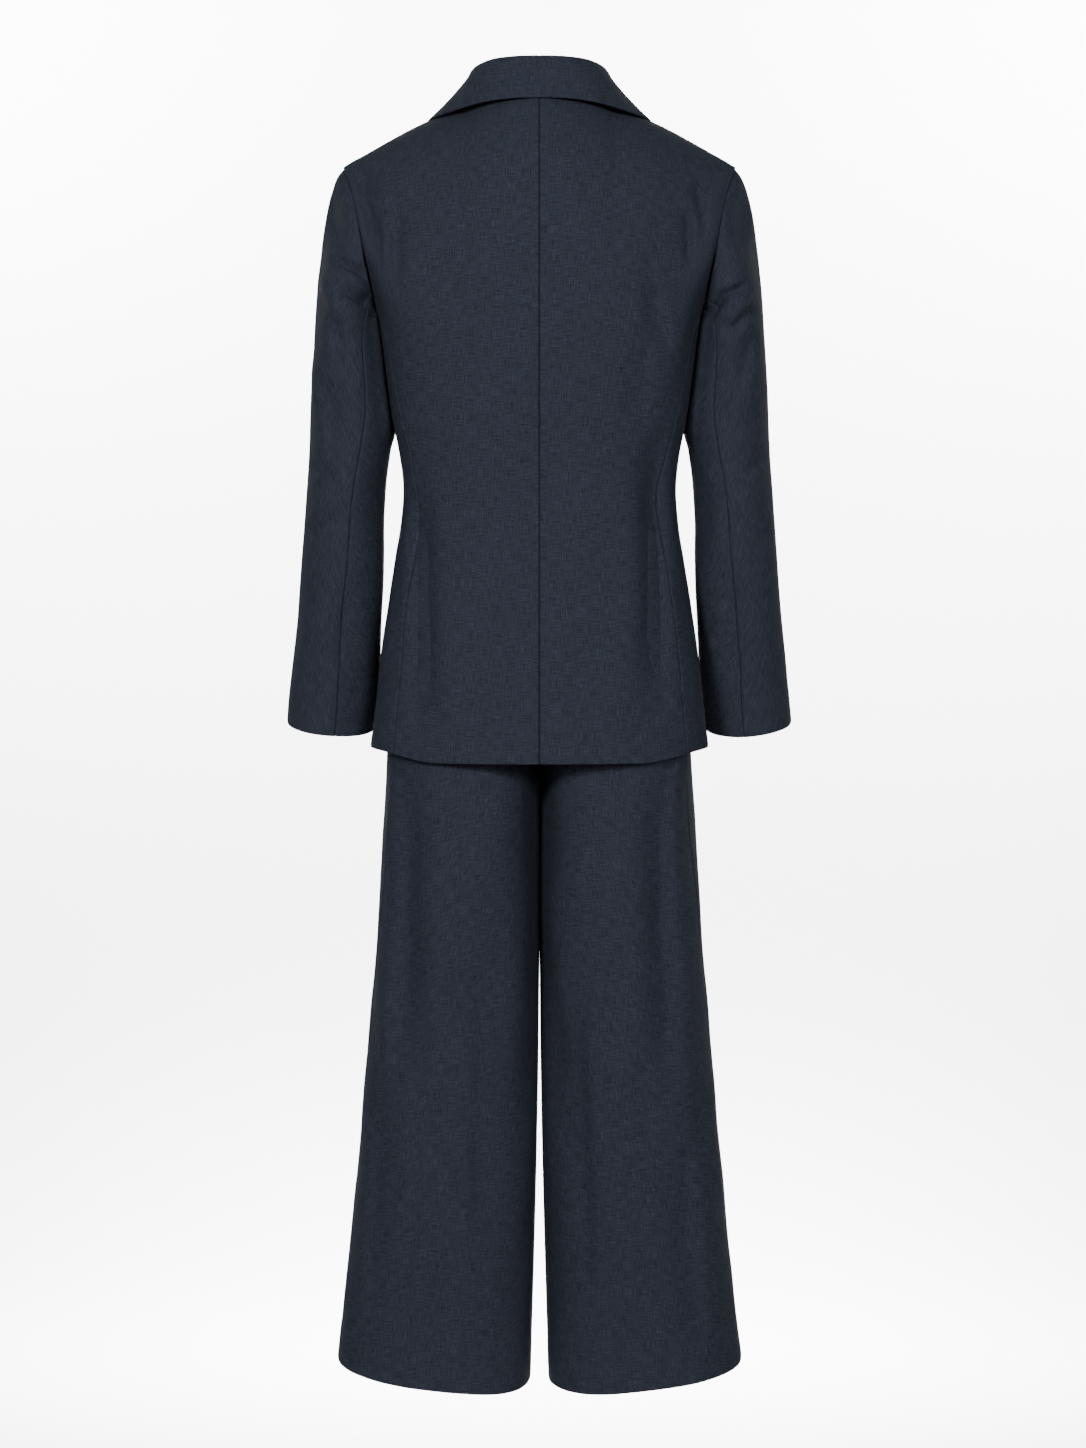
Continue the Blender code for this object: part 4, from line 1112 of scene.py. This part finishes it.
trouserLook = {
    "wall": 1.0,
    "seamDepth": 1.2,
    "seamWidth": 0.9,
    "edgeDepth": 0.45,
    "edgeWidth": 1.4,
    "hemHeight": 38,
    "hemStep": 0.2,
    "bandWall": 1.2,
    "bandEdge": 0.5,
    "backFlat": (0.291, 0.983),
    "backArea": 0.2275,
    "frontFlat": (0.360, 0.987),
    "frontArea": 0.2896,
    "bandFlat": (0.720, 0.035),
}
trouserFoldsLeft = [
    (140, -640, 148, -985, 16, 13.1),
    (96, -660, 100, -1000, 22, -4),
    (166, -1010, 178, -1240, 14, 6.8),
    (58, -880, 60, -1180, 18, 5.5),
    (120, -1080, 128, -1300, 16, 6),
]
trouserFoldsRight = [
    (128, -660, 136, -985, 15, 11.9),
    (92, -700, 96, -1040, 22, -3.8),
    (30, -890, 46, -1260, 27, 9),
    (150, -1050, 168, -1270, 14, 6.5),
    (92, -1120, 98, -1300, 16, 5.5),
]
trouserFrontFolds = [
    (120, -650, 132, -1000, 16, 3.4),
    (60, -700, 70, -1280, 24, -2.2),
    (150, -980, 170, -1290, 16, 2.8),
    (34, -900, 46, -1250, 16, 2.8),
]


def makeTrousers(cloth):
    look = trouserLook
    rows = np.concatenate([spread(0, 1, 56, 220, "first")[:-1], spread(1, 2, 176, 700, "last")])
    columns = spread(0, 1, 60, 200)
    outward = {"back": (0, 1, 0), "front": (0, -1, 0)}
    for side, folds in (("left", trouserFoldsLeft), ("right", trouserFoldsRight)):
        sign = 1 if side == "left" else -1
        plain = {part: drawn(legPanel, columns, rows, back=part == "back") for part in outward}
        legs = dict(plain)

        def normalsOfBoth():
            normals = {part: normalsOf(legs[part], outward[part]) for part in legs}
            share(normals["back"], edgeOf["left"], normals["front"], edgeOf["left"])
            crotch = np.searchsorted(rows, 1)
            below = (slice(crotch, None), -1)
            share(normals["back"], below, normals["front"], below)
            for normal in normals.values():
                normal[:crotch, -1] = unit(normal[:crotch, -1] * (0, 1, 1))
            return normals

        normals = normalsOfBoth()
        for part, leg in plain.items():
            keep = ease(edgeDistance(leg, "right") / 24)
            here, facing = (folds, 1) if part == "back" else (trouserFrontFolds, -1)
            legs[part] = draped(leg, normals[part], sign, here, facing, keep, keep * 1.15)
            legs[part][..., 0] = np.maximum(legs[part][..., 0], np.minimum(leg[..., 0], 1))
        normals = normalsOfBoth()
        for part, leg in legs.items():
            leg = rolledIn(leg, normals[part], ("left",), look["seamDepth"], look["seamWidth"])
            free = (rows[:, None] > 1) * ease((byHeight(legGap, "gap", leg[:, -1:, 2]) - 0.3) / 1.5)
            depth = look["seamDepth"] * free
            leg = rolledIn(leg, normals[part], ("right",), depth, look["seamWidth"])
            leg = rolledIn(leg, normals[part], ("last",), look["edgeDepth"], look["edgeWidth"])
            legs[part] = hemmed(leg, normals[part], "last", look["hemHeight"], look["hemStep"])
            legs[part][rows < 1, -1, 0] = 0
        normals = normalsOfBoth()
        for part in legs:
            name, node = "trouser" + part.title() + side.title(), f"trouser_{part}_{side}"
            leg, normal, wall = legs[part], normals[part], look["wall"]
            addPiece(name, node, sign, leg, normal, wall, cloth)
    end = 180 + legCut["bandLap"]
    top, bottom = float(legCut["waistZ"]), legCut["waistZ"] - legCut["waistband"] + seamGap
    heights = spread(top, bottom, 12, 35, near=(0.6, 1.5))
    angle, z = np.meshgrid(spread(-end, end, 150, 720, near=(0.5, 1.5)), heights)
    band = waistbandPoints(angle, z)
    normals = normalsOf(band, (0, 1, 0))
    band = rolledIn(band, normals, ("first", "last"), look["bandEdge"], look["edgeWidth"])
    normals = normalsOf(band, (0, 1, 0))
    wall, flat = look["bandWall"], look["bandFlat"]
    addPiece("waistBand", "waistband", 1, band, normals, wall, cloth)
    print("trousers and waistband")


# ---- buttons, buttonholes and their stitches ----

buttonForm = {
    "jacketRadius": 10.0,
    "bandRadius": 7.5,
    "height": 3.2,
    # the profile, in shares of the radius and the height
    "reach": (0, 0.34, 0.52, 0.62, 0.70, 0.78, 0.88, 0.96, 1, 0.985, 0.92, 0.80, 0.4, 0),
    "lift": (0.62, 0.62, 0.66, 0.80, 0.96, 1, 0.99, 0.86, 0.66, 0.42, 0.16, 0.02, 0, 0),
    "holeRadius": 0.85,
    "holeSpread": 0.17,  # of the radius, from the middle
    "jacketZ": -368,
    "seat": 0.9,
    "threadRadius": 0.42,
}
stitchForm = {
    "spacing": 0.62,  # mm between stitches
    "length": 2.3,
    "radius": 0.26,
    "jacketHole": 23,
    "bandHole": 17,
    "holeWidth": 0.9,
    "pastButton": 3,
    "lift": 0.15,
}


def makeStitchTree(thread):
    inputs = [("Geometry", "Geometry", None)]
    labels = {"Spacing": "spacing", "Stitch Length": "length", "Stitch Radius": "radius"}
    for label, size in labels.items():
        inputs.append((label, "Float", stitchForm[size] * mm))
    outputs = [("Geometry", "Geometry")]
    tree, start, end = newGroup("whippedEdge", inputs, outputs, "GeometryNodeTree")
    asked = start.outputs

    def node(kind, inputs, **settings):
        return addNode(tree, kind, inputs, **settings).outputs[0]

    path = node("GeometryNodeMeshToCurve", {"Mesh": asked["Geometry"]})
    evenly = {"Curve": path, "Length": asked["Spacing"]}
    path = node("GeometryNodeResampleCurve", evenly, mode="LENGTH")
    tangent = node("GeometryNodeInputTangent", {})
    outward = node("GeometryNodeInputNamedAttribute", {"Name": "outward"}, data_type="FLOAT_VECTOR")
    across = node("ShaderNodeVectorMath", {0: tangent, 1: outward}, operation="CROSS_PRODUCT")
    half = maths(tree, "MULTIPLY", asked["Stitch Length"], 0.5)
    radius = asked["Stitch Radius"]
    placed = {
        "Points": path,
        "Instance": node("GeometryNodeMeshUVSphere", {"Segments": 8, "Rings": 6, "Radius": 1.0}),
        "Rotation": node("FunctionNodeAlignRotationToVector", {"Vector": across}, axis="Z"),
        "Scale": node("ShaderNodeCombineXYZ", {0: radius, 1: radius, 2: half}),
    }
    stitches = node("GeometryNodeInstanceOnPoints", placed)
    stitches = node("GeometryNodeRealizeInstances", {0: stitches})
    stitches = node("GeometryNodeSetMaterial", {"Geometry": stitches, "Material": thread})
    feed(tree, end, {"Geometry": stitches})
    return tree


def makeButtonhole(name, points, outward, tree):  # points run once round the slit, in mm
    mesh = bpy.data.meshes.new(name + "Path")
    count = len(points)
    mesh.from_pydata((points * mm).tolist(), [(i, (i + 1) % count) for i in range(count)], [])
    layer = mesh.attributes.new("outward", "FLOAT_VECTOR", "POINT")
    layer.data.foreach_set("vector", np.asarray(outward, np.float32).ravel())
    guide = addObject(name + "Path", mesh)
    guide.modifiers.new("stitches", "NODES").node_group = tree
    bpy.context.view_layer.update()
    made = guide.evaluated_get(bpy.context.evaluated_depsgraph_get())
    stitched = bpy.data.meshes.new_from_object(made)
    bpy.data.objects.remove(guide)
    stitched.shade_smooth()
    piece = addObject(name, stitched)
    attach(piece, "root")


def slitPath(length):  # once round a slit that is rounded at both ends
    reach = length / 2
    turn = np.linspace(0, 2 * pi, 72, endpoint=False)
    x = np.clip(reach * 1.25 * np.cos(turn), -reach, reach) + reach - stitchForm["pastButton"]
    return x, stitchForm["holeWidth"] * np.sign(np.sin(turn)) * np.abs(np.sin(turn)) ** 0.5


def addRings(shape, rings):  # faces from ring to ring, closed where a ring is one point
    rings = [[shape.verts.new(point) for point in ring] for ring in rings]
    for low, high in zip(rings, rings[1:]):
        for k in range(max(len(low), len(high))):
            corners = [low[k % len(low)], high[k % len(high)]]
            corners += [high[(k + 1) % len(high)], low[(k + 1) % len(low)]]
            shape.faces.new([*dict.fromkeys(corners)])
    return rings


def addShape(name, shape):
    bmesh.ops.recalc_face_normals(shape, faces=shape.faces)
    mesh = bpy.data.meshes.new(name)
    shape.to_mesh(mesh)
    shape.free()
    return addObject(name, mesh)


def makeButton(name, node, place, outward, radius, materials):
    form = buttonForm
    height, thick = form["height"], form["threadRadius"]
    turns = np.linspace(0, 2 * pi, 72, endpoint=False)
    rings = []
    for reach, lift in zip(form["reach"], form["lift"]):
        reach = reach * radius
        some = turns if reach else turns[:1]
        rings.append([(reach * np.cos(turn), reach * np.sin(turn), lift * height) for turn in some])
    disc = bmesh.new()
    addRings(disc, rings)
    button = addShape(name, disc)
    spot = radius * form["holeSpread"] + 0.25
    for x, y in ((-spot, -spot), (-spot, spot), (spot, -spot), (spot, spot)):
        bpy.ops.mesh.primitive_cylinder_add(
            vertices=20, radius=form["holeRadius"], depth=9, location=(x, y, 1.2)
        )
        cutter = bpy.context.object
        cut = button.modifiers.new("hole", "BOOLEAN")
        cut.operation, cut.solver, cut.object = "DIFFERENCE", "EXACT", cutter
        bpy.context.view_layer.objects.active = button
        bpy.ops.object.modifier_apply(modifier=cut.name)
        bpy.data.objects.remove(cutter)

    threads = bmesh.new()
    t = np.linspace(0, 1, 13)
    turn = np.linspace(0, 2 * pi, 8, endpoint=False)[:, None]
    for x in (-spot, spot):
        for lane in (-1, 0, 1):
            arc = np.zeros((13, 3))
            arc[:, 0] = x + lane * thick * 0.9
            arc[:, 1] = spot * (1 - 2 * t)
            arc[:, 2] = 0.62 * height - 1.1 + 1.75 * np.sin(pi * t) ** 0.45
            up = unit(np.cross(np.gradient(arc, axis=0), (1, 0, 0)))
            offset = np.cos(turn) * (1, 0, 0) + np.sin(turn) * up[:, None]
            rings = addRings(threads, arc[:, None] + thick * 0.62 * offset)
            threads.faces.new(rings[0])
            threads.faces.new(rings[-1])
    sewing = addShape(name + "Thread", threads)
    axis = unit(np.asarray(outward, float))
    side = unit(np.cross((0, 0, 1.0), axis))
    axes = np.stack([side, np.cross(axis, side), axis])
    for piece, kind, crease in ((button, "button", 40), (sewing, "thread", 180)):
        mesh = piece.data
        local = np.array([vert.co[:] for vert in mesh.vertices])
        world = (np.asarray(place) + local @ axes) * mm
        mesh.vertices.foreach_set("co", world.astype(np.float32).ravel())
        mesh.materials.append(materials[kind])
        mesh.update()
        mesh.shade_smooth()
        if crease < 180:
            mesh.set_sharp_from_angle(angle=radians(crease))
        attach(piece, "root")
    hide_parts(node)


def makeButtons(materials):
    form, stitch = buttonForm, stitchForm
    tree = makeStitchTree(materials["thread"])
    place, out = onFront(np.array([0.0]), np.array([float(form["jacketZ"])]))
    place = lapped(place, "right")[0] + out[0] * form["seat"]
    outward = out[0] * (0, 1, 1)
    makeButton("jacketButton", "jacket_button", place, outward, form["jacketRadius"], materials)
    x, lift = slitPath(stitch["jacketHole"])
    spots, normals = onFront(x, lift + form["jacketZ"])
    spots = lapped(spots, "right") + stitch["lift"] * normals
    makeButtonhole("jacketButtonhole", spots * (-1, 1, 1), normals * (-1, 1, 1), tree)
    middle = legCut["waistZ"] - legCut["waistband"] / 2
    place = waistbandPoints(np.array([-180.0]), np.array([middle]))[0] - (0, seamGap, 0)
    makeButton("bandButton", "waistband_button", place, (0, -1, 0), form["bandRadius"], materials)
    x, lift = slitPath(stitch["bandHole"])
    spots = waistbandPoints(-180 + np.degrees(x / 105) * 0.9, lift + middle)
    outward = np.tile((0.0, -1.0, 0.0), (len(spots), 1))
    makeButtonhole("bandButtonhole", spots + stitch["lift"] * outward, outward, tree)
    print("buttons and buttonholes")


makeStudio()
materials = {
    "cloth": makeCloth(makePlainWeave()),
    "button": makeSwirled("darkButton", buttonLook),
    "thread": makeSwirled("navyThread", threadLook),
}
for side in ("left", "right"):
    makeJacketHalf(side, materials["cloth"])
makeLapels(materials["cloth"])
makeCollar(materials["cloth"])
makeTrousers(materials["cloth"])
makeButtons(materials)
